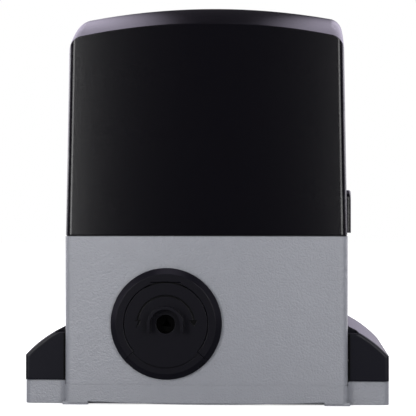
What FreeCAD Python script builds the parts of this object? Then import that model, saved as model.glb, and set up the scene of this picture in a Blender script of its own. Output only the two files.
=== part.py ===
"""Sliding gate motor: a grey cast base with two bolt-down feet, a black lift-off hood, and a worm gear
drive that turns a rack pinion at the back. X is across, the release handle faces -Y, Z is up, and the
origin is on the ground at the middle of the four foundation slots. Millimetres."""

import FreeCAD
import Part
import math
import os

V = FreeCAD.Vector
AXIS_X, AXIS_Y, AXIS_Z = V(1, 0, 0), V(0, 1, 0), V(0, 0, 1)

# ---- fits and clearances ----
running_gap = 0.05          # radial gap of a shaft in a bearing, or of a pin in its hole
panel_gap = 0.6             # open line between two moulded panels
seat_gap = 0.3              # moulded piece resting beside another piece

# ---- base housing ----
body_width = 240.0
body_depth = 206.0
base_height = 143.0
half_width = body_width / 2
half_depth = body_depth / 2
front_y, back_y = -half_depth, half_depth
corner_radius = 5.0
housing_wall = 4.0
pad_height = 1.5            # underside of the floor above the ground
pad_side = 18.0
pad_proud = 2.0             # corner pads beyond the body's sides
apron_middle = 0.4          # lower edge of the front and back walls over the ground, at the middle
apron_end = 3.0             # and beside the corner pads
floor_top = 9.5
plinth_top = 17.0
plinth_step = 0.5
foot_reach = 35.0           # each foot flange beyond the body
flange_top = 20.0
flange_front = front_y + 9.0
flange_back = back_y - 6.0
flange_corner = 4.5
flange_cove = 6.0
slot_radius = 5.5
slot_length = 20.0
slot_pitch_x = body_width + foot_reach
slot_pitch_y = body_depth - 56.0
tray_level = base_height - 9.0      # underside of the component tray
post_radius = 6.0
post_inset = 10.0
cable_x, cable_y = half_width - 32.0, half_depth - 51.0
cable_hole_radius = 17.0

# ---- hood ----
cover_lift = 1.0            # height of the joint line
cover_inset = 0.4
cover_wall = 3.0
cover_draft = 3.3           # how far each wall leans in over the hood's height
cover_ridge = base_height + 203.5
ridge_arch = 600.0          # radius of the dome across the object
ridge_roll = 232.0          # radius of the dome from front to back
shoulder_radius = 12.0
fix_pad_y = -15.0           # raised fixing pad on each side of the hood
fix_pad_width = 34.0
fix_pad_proud = 5.5
fix_pad_bottom = base_height + cover_lift + 1.0
fix_pad_top = fix_pad_bottom + 38.0
fix_screw_z = fix_pad_bottom + 19.0
fix_screw_radius = 2.5
fix_head_radius = 5.0
lug_x = half_width - 10.0   # inner face of the upstand that the fixing screws clamp
lug_thickness = 4.0
lug_width = 24.0
lug_bottom = base_height - 31.0
lug_top = fix_screw_z + 10.0

# ---- foot covers ----
foot_cover_wall = 2.5
foot_cover_shoulder = 41.5  # top of the upright outer face
foot_cover_root = 66.0      # height where the slope meets the body
foot_cover_bulge = 2.2
foot_notch_level = 60.5
foot_notch_width = 7.5
foot_notch_depth = 12.0
foot_cover_front = flange_front - 2.0
foot_cover_edge = 3.0
foot_peg_radius = 3.0
foot_peg_length = 8.0

# ---- output axis, worm drive ----
output_x, output_z = -33.4, 69.0
wheel_module = 2.5
wheel_teeth = 30
worm_starts = 1
worm_pitch_radius = 12.5
gear_play = 0.3             # gap left on each flank of the worm mesh
tooth_addendum = 2.2
tooth_dedendum = 2.8
flank_tan = math.tan(math.radians(20))
worm_turns = 4
wheel_mid_y = 10.0
wheel_width = 20.0
hub_radius = 24.0
hub_back = 24.0             # Y of the wheel's clutch face
wheel_bore_radius = 14.0
chamber_radius = 44.0
worm_chamber_radius = 20.0
chamber_front = -22.0
chamber_back = 52.0
gearcase_wall = 8.0
gearcase_top = base_height - 17.0
gearcase_screw_radius = 3.0
gearcase_screw_depth = 14.0
gearcase_head_radius = 5.0
gearcase_head_height = 3.5
gearcase_left = output_x - 55.6
gearcase_right = output_x + 77.4
gear_cover_radius = 54.0

# ---- output shaft ----
front_seat_radius = 10.0
front_bearing_outer = 21.0
front_bearing_width = 12.0
rear_seat_radius = 12.5
rear_bearing_outer = 26.0
rear_bearing_width = 15.0
rear_bearing_y = back_y - 25.0
seal_width = 7.0
collar_radius = 20.0
collar_y = 47.0
collar_width = 4.0
rod_radius = 3.5
rod_bore_radius = 4.0
pin_radius = 2.5
pin_slot_front = 27.0
clutch_width = 12.0
clutch_travel = 5.0
clutch_gap = 0.3
clutch_dogs = 4
dog_height = 4.0
dog_width = 7.0

# ---- pinion ----
pinion_module = 4.0
pinion_teeth = 16
pinion_width = 28.0
pinion_y = back_y + 6.0
pressure_angle = math.radians(20)
key_width = 8.0
key_height = 7.0
bolt_radius = 4.0

# ---- motor ----
motor_radius = 55.0
motor_floor = gearcase_top
lower_bell_top = motor_floor + 39.0
stack_height = 70.0
bell_wall = 6.0
upper_bell_height = 40.0
air_gap = 0.6
rotor_radius = 31.0
winding_height = 16.0
worm_bearing = (6.0, 16.0, 10.0)      # bore radius, outer radius, width
middle_bearing = (8.5, 20.0, 12.0)
upper_bearing = (7.5, 17.5, 11.0)
worm_bearing_floor = 17.0
tie_bolt_circle = 52.0
tie_bolt_radius = 1.8
encoder_radius = 18.0

# ---- release ----
release_x, release_z = output_x, output_z
bezel_radius = 47.2
bezel_flat_radius = 42.3
bezel_proud = 7.0
bezel_back = 1.6
bezel_inner_chamfer = 0.3
handle_radius = 35.2
sector_half_angle = 49.5
ridge_radius = 37.0
lip_radius = 1.1            # rounding of the disc's thin top edge, about the pivot
pivot_pin_radius = 0.6
pivot_pin_half = 17.0
hinge_relief = 0.7          # radial room round the handle's rounded top edge
hinge_half = 13.0
rim_notch_deg = 40.6        # finger notches in the sector's rim, either side of straight down
rim_notch_width = 6.0
rim_notch_depth = 1.9
shroud_outer = 15.3
shroud_wall = 2.5
shroud_leg = 6.5
shroud_proud = 8.0
barrel_radius = 7.9
barrel_recess = 9.0
barrel_back = front_y + 13.0
key_side = 8.0
arrow_radius = 24.0
arrow_width = 1.5
arrow_depth = 0.6
arrow_foot = 3.4            # height of the arrow's ends over the release axis
front_hole_radius = 26.0

# ---- tray and electrics ----
tray_thickness = 3.0
tray_edge_gap = 2.0
board_width, board_height, board_thickness = 150.0, 104.0, 1.6
board_x, board_bottom = 22.0 - half_width, tray_level + 16.0
carrier_y = front_y + 35.0
standoff = 4.0
button_travel = 0.4
capacitor_x, capacitor_y = half_width - 30.0, half_depth - 51.0
capacitor_radius, capacitor_height = 18.0, 84.0
transformer_x, transformer_y = 40.0 - half_width, 0.0
transformer_width, transformer_depth, transformer_height = 44.0, 60.0, 50.0

# ---- limit switch ----
limit_x, limit_y = -64.0, half_depth - 23.0
limit_box_width, limit_box_depth, limit_box_height = 48.0, 34.0, 30.0
feeler_z = tray_level + 17.0
feeler_radius = 2.5
feeler_coil_radius = 4.5
feeler_length = 72.0
feeler_notch_half = 24.0
feeler_notch_top = feeler_z + 9.0

# ---- worked out from the above ----
overall_width = body_width + 2 * foot_reach
cover_bottom = base_height + cover_lift
wheel_radius = wheel_module * wheel_teeth / 2
worm_x = output_x + wheel_radius + worm_pitch_radius
worm_y = wheel_mid_y
worm_lead = math.pi * wheel_module * worm_starts
tray_top = tray_level + tray_thickness
stack_bottom = lower_bell_top
stack_top = stack_bottom + stack_height
motor_top = stack_top + upper_bell_height
bezel_face = front_y - bezel_proud
handle_back = front_y - bezel_back - seat_gap
pivot_y = bezel_face + lip_radius
pivot_z = release_z + handle_radius - lip_radius
clutch_y = hub_back + clutch_gap
pin_y = clutch_y + clutch_width / 2
shaft_front = chamber_front - front_bearing_width
gearcase_boss_radius = rear_bearing_outer + 8
gearcase_head_seat = pad_height + gearcase_head_height + 0.5
cover_cap_y = shaft_front - seat_gap


def box(x0, x1, y0, y1, z0, z1):
    return Part.makeBox(x1 - x0, y1 - y0, z1 - z0, V(x0, y0, z0))


def cyl_x(y, z, radius, x0, x1):
    return Part.makeCylinder(radius, x1 - x0, V(x0, y, z), AXIS_X)


def cyl_y(x, z, radius, y0, y1):
    return Part.makeCylinder(radius, y1 - y0, V(x, y0, z), AXIS_Y)


def cyl_z(x, y, radius, z0, z1):
    return Part.makeCylinder(radius, z1 - z0, V(x, y, z0), AXIS_Z)


def rounded_outline(width, depth, radius, z, shift_y=0.0):
    """A rectangle with round corners, centred on the Z axis, as a wire."""
    hx, hy = width / 2, depth / 2
    bend = radius * (1 - math.sqrt(0.5))
    edges = []
    for sx, sy, flip in ((1, -1, 0), (1, 1, 1), (-1, 1, 0), (-1, -1, 1)):
        ends = [V(sx * (hx - radius), shift_y + sy * hy, z), V(sx * hx, shift_y + sy * (hy - radius), z)]
        middle = V(sx * (hx - bend), shift_y + sy * (hy - bend), z)
        if flip:
            ends.reverse()
        edges.append((ends[0], middle, ends[1]))
    wire = []
    for i, (start, middle, end) in enumerate(edges):
        wire.append(Part.Arc(start, middle, end).toShape())
        wire.append(Part.makeLine(end, edges[(i + 1) % 4][0]))
    return Part.Wire(wire)


def rounded_block(width, depth, radius, z0, z1, shift_y=0.0):
    face = Part.Face(rounded_outline(width, depth, radius, z0, shift_y))
    return face.extrude(V(0, 0, z1 - z0))


def turned_y(x, z, steps):
    """A shaft along Y from (y0, y1, radius) steps."""
    return fuse([cyl_y(x, z, radius, y0, y1) for y0, y1, radius in steps])


def turned_z(x, y, steps):
    return fuse([cyl_z(x, y, radius, z0, z1) for z0, z1, radius in steps])


def fuse(shapes):
    if len(shapes) == 1:
        return shapes[0]
    return shapes[0].multiFuse(shapes[1:]).removeSplitter()


def ring_places(count, radius, start_deg=0.0):
    for i in range(count):
        angle = math.radians(start_deg + 360.0 * i / count)
        yield radius * math.cos(angle), radius * math.sin(angle)


def prism_y(points, y0, y1):
    """A prism along Y over (x, z) points."""
    corners = [V(x, y0, z) for x, z in points]
    return Part.Face(Part.makePolygon(corners + corners[:1])).extrude(V(0, y1 - y0, 0))


def mirror_x(shape):
    return shape.mirror(V(0, 0, 0), AXIS_X)


def hex_prism(base, axis, across_flats, height):
    """A hexagon head or nut standing on base along axis."""
    radius = across_flats / math.sqrt(3)
    side = V(0, 0, 1) if abs(axis.z) < 0.5 else V(1, 0, 0)
    other = axis.cross(side)
    corners = []
    for i in range(6):
        angle = math.radians(60 * i)
        corners.append(base + side * (radius * math.cos(angle)) + other * (radius * math.sin(angle)))
    return Part.Face(Part.makePolygon(corners + corners[:1])).extrude(axis * height)


def pan_screw(x, y, z, axis, head_radius, head_height, shank_radius, shank_length):
    """A screw whose head stands on (x, y, z) and whose shank runs against axis."""
    at = V(x, y, z)
    head = Part.makeCylinder(head_radius, head_height, at, axis)
    socket = hex_prism(at + axis * (head_height * 0.45), axis, head_radius, head_height)
    shank = Part.makeCylinder(shank_radius, shank_length, at, axis * -1)
    return head.cut(socket).fuse(shank)


def bearing(axis_point, axis, bore, outer, width):
    """A shielded ball bearing, with the recess between its two rings on both faces."""
    ring = Part.makeCylinder(outer, width, axis_point, axis)
    ring = ring.cut(Part.makeCylinder(bore + running_gap, width, axis_point, axis))
    wall = (outer - bore) * 0.25
    for start in (0.0, width - 0.6):
        at = axis_point + axis * start
        groove = Part.makeCylinder(outer - wall, 0.6, at, axis)
        ring = ring.cut(groove.cut(Part.makeCylinder(bore + wall, 0.6, at, axis)))
    return ring


# ---------------------------------------------------------------- housing

def slot_places():
    for sx in (-1, 1):
        for sy in (-1, 1):
            yield sx * slot_pitch_x / 2, sy * slot_pitch_y / 2


def foot_peg_places():
    for y in (-slot_pitch_y / 2 + 32, slot_pitch_y / 2 - 32):
        yield half_width + foot_reach / 2, y


def base_housing():
    flange_depth = flange_back - flange_front
    flange_mid = (flange_back + flange_front) / 2
    plinth = 2 * plinth_step
    body = rounded_block(body_width, body_depth, corner_radius, pad_height, base_height)
    skirt = rounded_block(
        body_width + plinth, body_depth + plinth, corner_radius + plinth_step, pad_height, plinth_top
    )
    flange = rounded_block(overall_width, flange_depth, flange_corner, 0, flange_top, flange_mid)
    coves = []
    for side in (-1, 1):
        for edge, outward in ((flange_front, -1), (flange_back, 1)):
            x0 = side * half_width
            x1 = side * (half_width + flange_cove)
            y1 = edge + outward * flange_cove
            block = box(min(x0, x1), max(x0, x1), min(edge, y1), max(edge, y1), 0, flange_top)
            coves.append(block.cut(cyl_z(x1, y1, flange_cove, 0, flange_top)))
    shell = fuse([body, skirt, flange] + coves)
    cavity = rounded_block(
        body_width - 2 * housing_wall, body_depth - 2 * housing_wall, 2.0, floor_top, base_height + 1
    )
    shell = shell.cut(cavity)

    # corner posts for the tray, and the upstands for the hood's screws
    solid = []
    for x, y in post_places():
        solid.append(cyl_z(x, y, post_radius, floor_top, tray_level))
    for side in (-1, 1):
        inner = side * lug_x
        outer = side * (half_width - housing_wall)
        web = box(min(inner, outer), max(inner, outer), fix_pad_y - lug_width / 2,
                  fix_pad_y + lug_width / 2, lug_bottom, base_height)
        rise = side * (lug_x + lug_thickness)
        lug = box(min(inner, rise), max(inner, rise), fix_pad_y - lug_width / 2,
                  fix_pad_y + lug_width / 2, lug_bottom, lug_top)
        solid += [web, lug]
    solid += corner_pads()
    for y0 in (front_y, back_y - housing_wall):
        solid.append(box(pad_side - half_width, half_width - pad_side, y0, y0 + housing_wall, 0, pad_height))
    shell = fuse([shell] + solid)

    cuts = [cyl_y(output_x, output_z, gearcase_boss_radius + seat_gap, back_y - housing_wall - 1, back_y + 1)]
    cuts += gearcase_screw_cuts()
    cuts.append(cyl_y(release_x, release_z, front_hole_radius, front_y - 1, front_y + housing_wall + 1))
    cuts.append(cyl_z(cable_x, cable_y, cable_hole_radius, -1, floor_top + 1))
    for x, y in slot_places():
        straight = slot_length / 2 - slot_radius
        slot = box(x - straight, x + straight, y - slot_radius, y + slot_radius, -1, flange_top + 1)
        for end in (-straight, straight):
            slot = slot.fuse(cyl_z(x + end, y, slot_radius, -1, flange_top + 1))
        cuts.append(slot)
    for x, y in foot_peg_places():
        for side in (-1, 1):
            hole = cyl_z(side * x, y, foot_peg_radius + seat_gap, flange_top - foot_peg_length - 1,
                         flange_top + 1)
            cuts.append(hole)
    for x, y in post_places():
        cuts.append(cyl_z(x, y, 1.9, tray_level - 14, tray_level + 1))
    for x, z in bezel_screw_places():
        cuts.append(cyl_y(x, z, 1.9, front_y - 1, front_y + housing_wall + 1))
    for side in (-1, 1):
        inner = side * (lug_x - 1)
        outer = side * (lug_x + lug_thickness + 1)
        cuts.append(box(min(inner, outer), max(inner, outer), fix_pad_y - fix_screw_radius - 0.5,
                        fix_pad_y + fix_screw_radius + 0.5, fix_screw_z - fix_screw_radius - 0.5, lug_top + 1))
    for y0 in (front_y - plinth_step, back_y - housing_wall):
        cuts.append(apron_relief(y0, y0 + housing_wall + plinth_step))
    return shell.cut(fuse_loose(cuts))


def gear_housing():
    """The oil-bath gearcase, bolted to the base's floor, with the rear boss that holds the output bearing."""
    block = box(gearcase_left, gearcase_right, chamber_front - gearcase_wall, chamber_back + gearcase_wall,
                floor_top, gearcase_top)
    boss = cyl_y(output_x, output_z, gearcase_boss_radius, chamber_back + gearcase_wall, back_y)
    cuts = [cyl_y(output_x, output_z, chamber_radius, chamber_front - gearcase_wall - 1, chamber_back)]
    cuts.append(cyl_z(worm_x, worm_y, worm_chamber_radius, worm_bearing_floor + worm_bearing[2],
                      gearcase_top + 1))
    cuts.append(cyl_z(worm_x, worm_y, worm_bearing[1], worm_bearing_floor, gearcase_top))
    cuts.append(cyl_y(output_x, output_z, rear_seat_radius + 3, chamber_back - 1, rear_bearing_y))
    cuts.append(cyl_y(output_x, output_z, rear_bearing_outer, rear_bearing_y, back_y + 1))
    for x, z in gear_cover_screw_places():
        cuts.append(cyl_y(x, z, 2.4, chamber_front - gearcase_wall - 1, chamber_front + 5))
    for x, y in bell_screw_places():
        cuts.append(cyl_z(x, y, 2.4, gearcase_top - 14, gearcase_top + 1))
    for x, y in gearcase_screw_places():
        cuts.append(cyl_z(x, y, gearcase_screw_radius, floor_top - 1, floor_top + gearcase_screw_depth))
    return block.fuse(boss).cut(fuse_loose(cuts))


def gearcase_screw_places():
    """The corners where the gearcase is bolted down."""
    margin = gearcase_wall - 1
    ys = (chamber_front - gearcase_wall + margin, chamber_back + gearcase_wall - margin)
    return [(x, y) for x in (gearcase_left + margin, gearcase_right - margin) for y in ys]


def gearcase_screw_cuts():
    """The clearance holes and head recesses in the base's floor, open at the underside."""
    cuts = []
    for x, y in gearcase_screw_places():
        cuts.append(cyl_z(x, y, gearcase_screw_radius + 0.3, pad_height - 1, floor_top + 1))
        cuts.append(cyl_z(x, y, gearcase_head_radius + 0.5, pad_height - 1, gearcase_head_seat))
    return cuts


def gear_housing_screws():
    """The four screws that hold the gearcase, put in from under the floor."""
    screws = []
    for x, y in gearcase_screw_places():
        low = gearcase_head_seat - gearcase_head_height
        head = cyl_z(x, y, gearcase_head_radius, low, gearcase_head_seat)
        shank = cyl_z(x, y, gearcase_screw_radius, gearcase_head_seat, floor_top + gearcase_screw_depth - 2)
        socket = hex_prism(V(x, y, low - 1), AXIS_Z, 4.0, 3.0)
        screws.append(head.fuse(shank).cut(socket))
    return Part.makeCompound(screws)


def corner_pads():
    """The four pads the base stands on, each with a sloped inner side."""
    pads = []
    for sy in (-1, 1):
        y0, y1 = sorted((sy * half_depth, sy * (half_depth - pad_side)))
        pad = prism_y([(half_width - pad_side, 0), (half_width + pad_proud, 0),
                       (half_width + pad_proud, apron_end), (half_width - pad_side - 1.8, apron_end)], y0, y1)
        pads += [pad, mirror_x(pad)]
    return pads


def apron_relief(y0, y1):
    """The room under a wall's lower edge, which is bowed down at its middle."""
    reach = half_width - pad_side - 1.8
    bow = Part.Arc(V(-reach, y0, apron_end), V(0, y0, apron_middle), V(reach, y0, apron_end)).toShape()
    low = -1.0
    edges = [bow, Part.makeLine(V(reach, y0, apron_end), V(reach, y0, low)),
             Part.makeLine(V(reach, y0, low), V(-reach, y0, low)),
             Part.makeLine(V(-reach, y0, low), V(-reach, y0, apron_end))]
    room = Part.Face(Part.Wire(edges)).extrude(V(0, y1 - y0, 0))
    return room.cut(fuse(corner_pads()))


def fuse_loose(shapes):
    return shapes[0].multiFuse(shapes[1:])


def post_places():
    x = half_width - housing_wall - post_inset
    y = half_depth - housing_wall - post_inset
    return [(sx * x, sy * y) for sx in (-1, 1) for sy in (-1, 1)]


def gear_cover_screw_places():
    for dx, dz in ring_places(6, gear_cover_radius - 5, 30):
        yield output_x + dx, output_z + dz


def bell_screw_places():
    for dx, dy in ((-36, -26), (-36, 26), (20, -30), (20, 30)):
        yield worm_x + dx, worm_y + dy


def cable_grommet():
    lip = 3.0
    sleeve = cyl_z(cable_x, cable_y, cable_hole_radius, pad_height, floor_top)
    flange = cyl_z(cable_x, cable_y, cable_hole_radius + lip, floor_top, floor_top + lip)
    collar = Part.makeCone(cable_hole_radius, cable_hole_radius - lip, 8, V(cable_x, cable_y, floor_top + lip))
    bore = cyl_z(cable_x, cable_y, cable_hole_radius - 5, pad_height, floor_top + lip + 8)
    return fuse([sleeve, flange, collar]).cut(bore)


# ---------------------------------------------------------------- hood

def hood_arch(inset, axis_z):
    """Half-section of the domed top, seen from the front, down to the roll axis."""
    crown = cover_ridge - inset
    arch = ridge_arch - inset
    shoulder = shoulder_radius - inset
    wall_x = half_width - cover_inset - inset - cover_draft * 0.94
    flare = math.radians(10)
    centre_x = wall_x + 0.1 - shoulder * math.cos(flare)
    centre_z = crown - arch + math.sqrt((arch - shoulder) ** 2 - centre_x ** 2)
    lean = math.atan2(centre_x, centre_z - crown + arch)
    join = (arch * math.sin(lean), crown - arch + arch * math.cos(lean))
    half = (lean + math.pi / 2 - flare) / 2
    bend = (centre_x + shoulder * math.sin(half), centre_z + shoulder * math.cos(half))
    end = (centre_x + shoulder * math.cos(flare), centre_z + shoulder * math.sin(flare))
    foot_x = half_width + 4
    foot_z = end[1] - (foot_x - end[0]) / math.tan(flare)
    edges = []
    for side in (-1, 1):
        edges.append(Part.Arc(V(side * join[0], 0, join[1]), V(side * bend[0], 0, bend[1]),
                              V(side * end[0], 0, end[1])).toShape())
        edges.append(Part.makeLine(V(side * end[0], 0, end[1]), V(side * foot_x, 0, foot_z)))
        edges.append(Part.makeLine(V(side * foot_x, 0, foot_z), V(side * foot_x, 0, axis_z)))
    edges.append(Part.Arc(V(-join[0], 0, join[1]), V(0, 0, crown), V(join[0], 0, join[1])).toShape())
    edges.append(Part.makeLine(V(-foot_x, 0, axis_z), V(foot_x, 0, axis_z)))
    return Part.Face(Part.Wire(Part.__sortEdges__(edges)))


def hood_form(inset, bottom):
    """The hood's outer form moved inwards by inset: leaning walls under a dome rolled front to back."""
    width = body_width - 2 * (cover_inset + inset)
    depth = body_depth - 2 * (cover_inset + inset)
    height = cover_ridge - cover_bottom
    lean = 2 * cover_draft
    radius = max(corner_radius - inset, 1.5)
    low = rounded_outline(width, depth, radius, bottom)
    high = rounded_outline(width - lean, depth - lean, radius, bottom + height)
    walls = Part.makeLoft([low, high], True)
    axis_z = cover_ridge - ridge_roll
    dome = hood_arch(inset, axis_z).revolve(V(0, 0, axis_z), AXIS_X, 360)
    return walls.common(dome)


def top_cover():
    outer = hood_form(0.0, cover_bottom)
    inner = hood_form(cover_wall, cover_bottom - 0.01)
    pads = []
    recesses = []
    for side in (-1, 1):
        pads.append(fix_pad(side))
        head_seat = half_width - cover_inset + fix_pad_proud - 4
        x0, x1 = sorted((side * head_seat, side * (half_width + 20)))
        recesses.append(cyl_x(fix_pad_y, fix_screw_z, fix_head_radius + 0.5, x0, x1))
        x0, x1 = sorted((side * (lug_x + lug_thickness + 1), side * (half_width + 20)))
        recesses.append(cyl_x(fix_pad_y, fix_screw_z, fix_screw_radius, x0, x1))
    shell = fuse([outer] + pads).cut(inner)
    notch = box(limit_x - feeler_notch_half, limit_x + feeler_notch_half, half_depth - 12, back_y + 5,
                cover_bottom - 1, feeler_notch_top)
    return shell.cut(fuse_loose(recesses + [notch]))


def fix_pad(side):
    """The raised pad that the hood's fixing screw sinks into, rounded at its top."""
    radius = fix_pad_width / 2
    inner = half_width - cover_inset - cover_wall - cover_draft
    outer = half_width - cover_inset + fix_pad_proud
    slab = box(inner, outer, fix_pad_y - radius, fix_pad_y + radius, fix_pad_bottom, fix_pad_top - radius / 2)
    crown = box(inner, outer, fix_pad_y - radius / 2, fix_pad_y + radius / 2, fix_pad_bottom, fix_pad_top)
    slab = fuse([slab, crown,
                 cyl_x(fix_pad_y - radius / 2, fix_pad_top - radius / 2, radius / 2, inner, outer),
                 cyl_x(fix_pad_y + radius / 2, fix_pad_top - radius / 2, radius / 2, inner, outer)])
    rims = []
    for edge in slab.Edges:
        limits = edge.BoundBox
        if limits.XLength < 0.01 and abs(limits.XMin - outer) < 0.01 and limits.ZMax > fix_pad_bottom + 0.1:
            rims.append(edge)
    slab = slab.makeFillet(2.0, rims)
    return slab if side > 0 else mirror_x(slab)


def cover_gasket():
    rim = 2.2
    height = cover_lift - 0.2
    inset = housing_wall - rim
    outer = rounded_block(body_width - inset, body_depth - inset, corner_radius - 1, base_height,
                          base_height + height)
    inner = rounded_block(body_width - inset - 2 * rim, body_depth - inset - 2 * rim, 2.0, base_height - 1,
                          base_height + height + 1)
    return outer.cut(inner)


def cover_screws():
    screws = []
    for side in (-1, 1):
        seat = half_width - cover_inset + fix_pad_proud - 4
        tip = seat - lug_x + 8
        screws.append(pan_screw(side * seat, fix_pad_y, fix_screw_z, AXIS_X * side, fix_head_radius, 3.0,
                                fix_screw_radius, tip))
    return Part.makeCompound(screws)


def cover_nuts():
    nuts = []
    for side in (-1, 1):
        at = V(side * (lug_x - seat_gap), fix_pad_y, fix_screw_z)
        nut = hex_prism(at, AXIS_X * -side, 8.0, 4.0)
        x0, x1 = sorted((side * (lug_x + 1), side * (lug_x - 8)))
        nuts.append(nut.cut(cyl_x(fix_pad_y, fix_screw_z, fix_screw_radius, x0, x1)))
    return Part.makeCompound(nuts)


# ---------------------------------------------------------------- foot covers

def foot_profile(wall, y):
    """Cross-section of a right-hand foot cover, moved inwards by wall, at Y."""
    inner = half_width + plinth_step + seat_gap
    outer = half_width + foot_reach - wall
    level = flange_top + seat_gap if wall == 0 else flange_top - 1
    shoulder = V(outer, y, foot_cover_shoulder - wall * 0.5)
    root = V(inner, y, foot_cover_root - wall * 1.2)
    chord = root - shoulder
    normal = V(-chord.z, 0, chord.x).normalize()
    if normal.z < 0:
        normal = normal * -1
    middle = (shoulder + root) * 0.5 + normal * foot_cover_bulge
    lines = [
        Part.makeLine(V(inner, y, level), V(outer, y, level)),
        Part.makeLine(V(outer, y, level), shoulder),
        Part.Arc(shoulder, middle, root).toShape(),
        Part.makeLine(root, V(inner, y, level)),
    ]
    return Part.Face(Part.Wire(lines))


def foot_cover(side):
    back = flange_back - seat_gap
    outer = foot_profile(0, foot_cover_front).extrude(V(0, back - foot_cover_front, 0))
    rounded = []
    for edge in outer.Edges:
        limits = edge.BoundBox
        upright = limits.XLength < 0.01 and limits.YLength < 0.01 and limits.XMin > half_width + foot_reach - 1
        slope_end = limits.YLength < 0.01 and limits.XLength > 20 and limits.ZMax > foot_cover_shoulder + 1
        if upright or slope_end:
            rounded.append(edge)
    outer = outer.makeFillet(foot_cover_edge, rounded)
    hollow_front = foot_cover_front + foot_cover_wall
    hollow = foot_profile(foot_cover_wall, hollow_front).extrude(
        V(0, back - foot_cover_wall - hollow_front, 0))
    notch = box(half_width, half_width + plinth_step + seat_gap + foot_notch_width, foot_cover_front - 1,
                foot_cover_front + foot_notch_depth, foot_notch_level, foot_cover_root + 5)
    shell = outer.cut(hollow)
    floor = box(half_width + plinth_step + seat_gap, half_width + foot_notch_width + foot_cover_wall,
                foot_cover_front + foot_cover_edge, foot_cover_front + foot_notch_depth + foot_cover_wall,
                foot_notch_level - foot_cover_wall, foot_cover_root)
    floor = floor.common(outer)
    shell = shell.fuse(floor).cut(notch)
    pegs = []
    for x, y in foot_peg_places():
        pegs.append(cyl_z(x, y, foot_peg_radius, flange_top - foot_peg_length, foot_cover_shoulder + 10))
    posts = fuse_loose(pegs).common(outer.fuse(box(half_width, half_width + foot_reach, flange_front,
                                                   flange_back, 0, flange_top + 5)))
    shell = fuse([shell, posts])
    return shell if side > 0 else mirror_x(shell)


# ---------------------------------------------------------------- release

def release_ring(radius_in, radius_out, face_radius, y_back, y_face, inner_chamfer=0.0):
    """A ring round the release axis whose outer edge is chamfered towards its face."""
    straight = (radius_out - face_radius) * 0.9
    points = [V(radius_in, y_back, 0), V(radius_out, y_back, 0), V(radius_out, y_face + straight, 0),
              V(face_radius, y_face, 0), V(radius_in + inner_chamfer, y_face, 0)]
    if inner_chamfer:
        points.append(V(radius_in, y_face + inner_chamfer, 0))
    face = Part.Face(Part.makePolygon(points + points[:1]))
    ring = face.revolve(V(0, 0, 0), AXIS_Y, 360)
    ring.translate(V(release_x, 0, release_z))
    return ring


def sector_block(half_angle, radius, y0, y1):
    """The wedge of half_angle either side of straight down from the release axis."""
    spread = math.radians(half_angle)
    corner = radius / math.cos(spread)
    points = [
        (release_x, release_z),
        (release_x + corner * math.sin(spread), release_z - radius),
        (release_x + corner * math.sin(spread), release_z - radius - 10),
        (release_x - corner * math.sin(spread), release_z - radius - 10),
        (release_x - corner * math.sin(spread), release_z - radius),
    ]
    return prism_y(points, y0, y1)


def bezel_screw_places():
    for angle in (90 - 62, 90, 90 + 62):
        a = math.radians(angle)
        yield release_x + 38.8 * math.cos(a), release_z + 38.8 * math.sin(a)


def release_bezel():
    back_ring = cyl_y(release_x, release_z, bezel_radius, front_y - bezel_back, front_y)
    tube = cyl_y(release_x, release_z, front_hole_radius - seat_gap, front_y - bezel_back, front_y + 10)
    upper = release_ring(handle_radius + panel_gap, bezel_radius, bezel_flat_radius, front_y, bezel_face,
                         bezel_inner_chamfer)
    upper = upper.cut(sector_block(sector_half_angle, bezel_radius, bezel_face - 1, front_y - bezel_back))
    solid = fuse([back_ring, tube, upper])
    pin = cyl_x(pivot_y, pivot_z, pivot_pin_radius, release_x - pivot_pin_half, release_x + pivot_pin_half)
    room = cyl_x(pivot_y, pivot_z, lip_radius + hinge_relief, release_x - hinge_half, release_x + hinge_half)
    pilots = [cyl_y(x, z, 1.5, front_y - 4, front_y + 1) for x, z in bezel_screw_places()]
    bore = cyl_y(release_x, release_z, front_hole_radius - 3, front_y - bezel_back - 1, front_y + 11)
    return solid.cut(fuse_loose([pin, room, bore] + pilots))


def handle_blank():
    disc = cyl_y(release_x, release_z, handle_radius, bezel_face, handle_back)
    x0, x1 = release_x - hinge_half, release_x + hinge_half
    above = box(x0, x1, bezel_face - 1, handle_back + 1, pivot_z, pivot_z + 10)
    behind = box(x0, x1, pivot_y, handle_back + 1, pivot_z - (handle_back - pivot_y), pivot_z + 10)
    lip = cyl_x(pivot_y, pivot_z, lip_radius, x0, x1)
    disc = disc.cut(fuse([above, behind]).cut(lip))
    ring = release_ring(handle_radius - 3, bezel_radius, bezel_flat_radius, handle_back, bezel_face)
    sector = ring.common(sector_block(sector_half_angle - 0.7, bezel_radius, bezel_face - 1, handle_back + 1))
    return fuse([disc, sector]).cut(rim_notches())


def rim_notches():
    """The two notches in the sector's rim that a fingernail pulls on."""
    notches = []
    for side in (-1, 1):
        notch = box(release_x - rim_notch_width / 2, release_x + rim_notch_width / 2, bezel_face - 1,
                    handle_back + 1, release_z - bezel_radius - 1, release_z - bezel_radius + rim_notch_depth)
        notch.rotate(V(release_x, 0, release_z), AXIS_Y, side * rim_notch_deg)
        notches.append(notch)
    return fuse_loose(notches)


def shroud():
    """The raised arch over the key barrel, open at its foot."""
    parts = []
    for radius, grow in ((shroud_outer, 0), (shroud_outer - shroud_wall, 1)):
        y0 = bezel_face - shroud_proud - grow
        block = cyl_y(release_x, release_z, radius, y0, bezel_face)
        legs = box(release_x - radius, release_x + radius, y0, bezel_face, release_z - shroud_leg - 12 * grow,
                   release_z)
        lower = box(release_x - 30, release_x + 30, y0 - 1, bezel_face + 1, release_z - 30, release_z)
        parts.append(block.cut(lower).fuse(legs))
    return parts[0].cut(parts[1])


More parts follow.
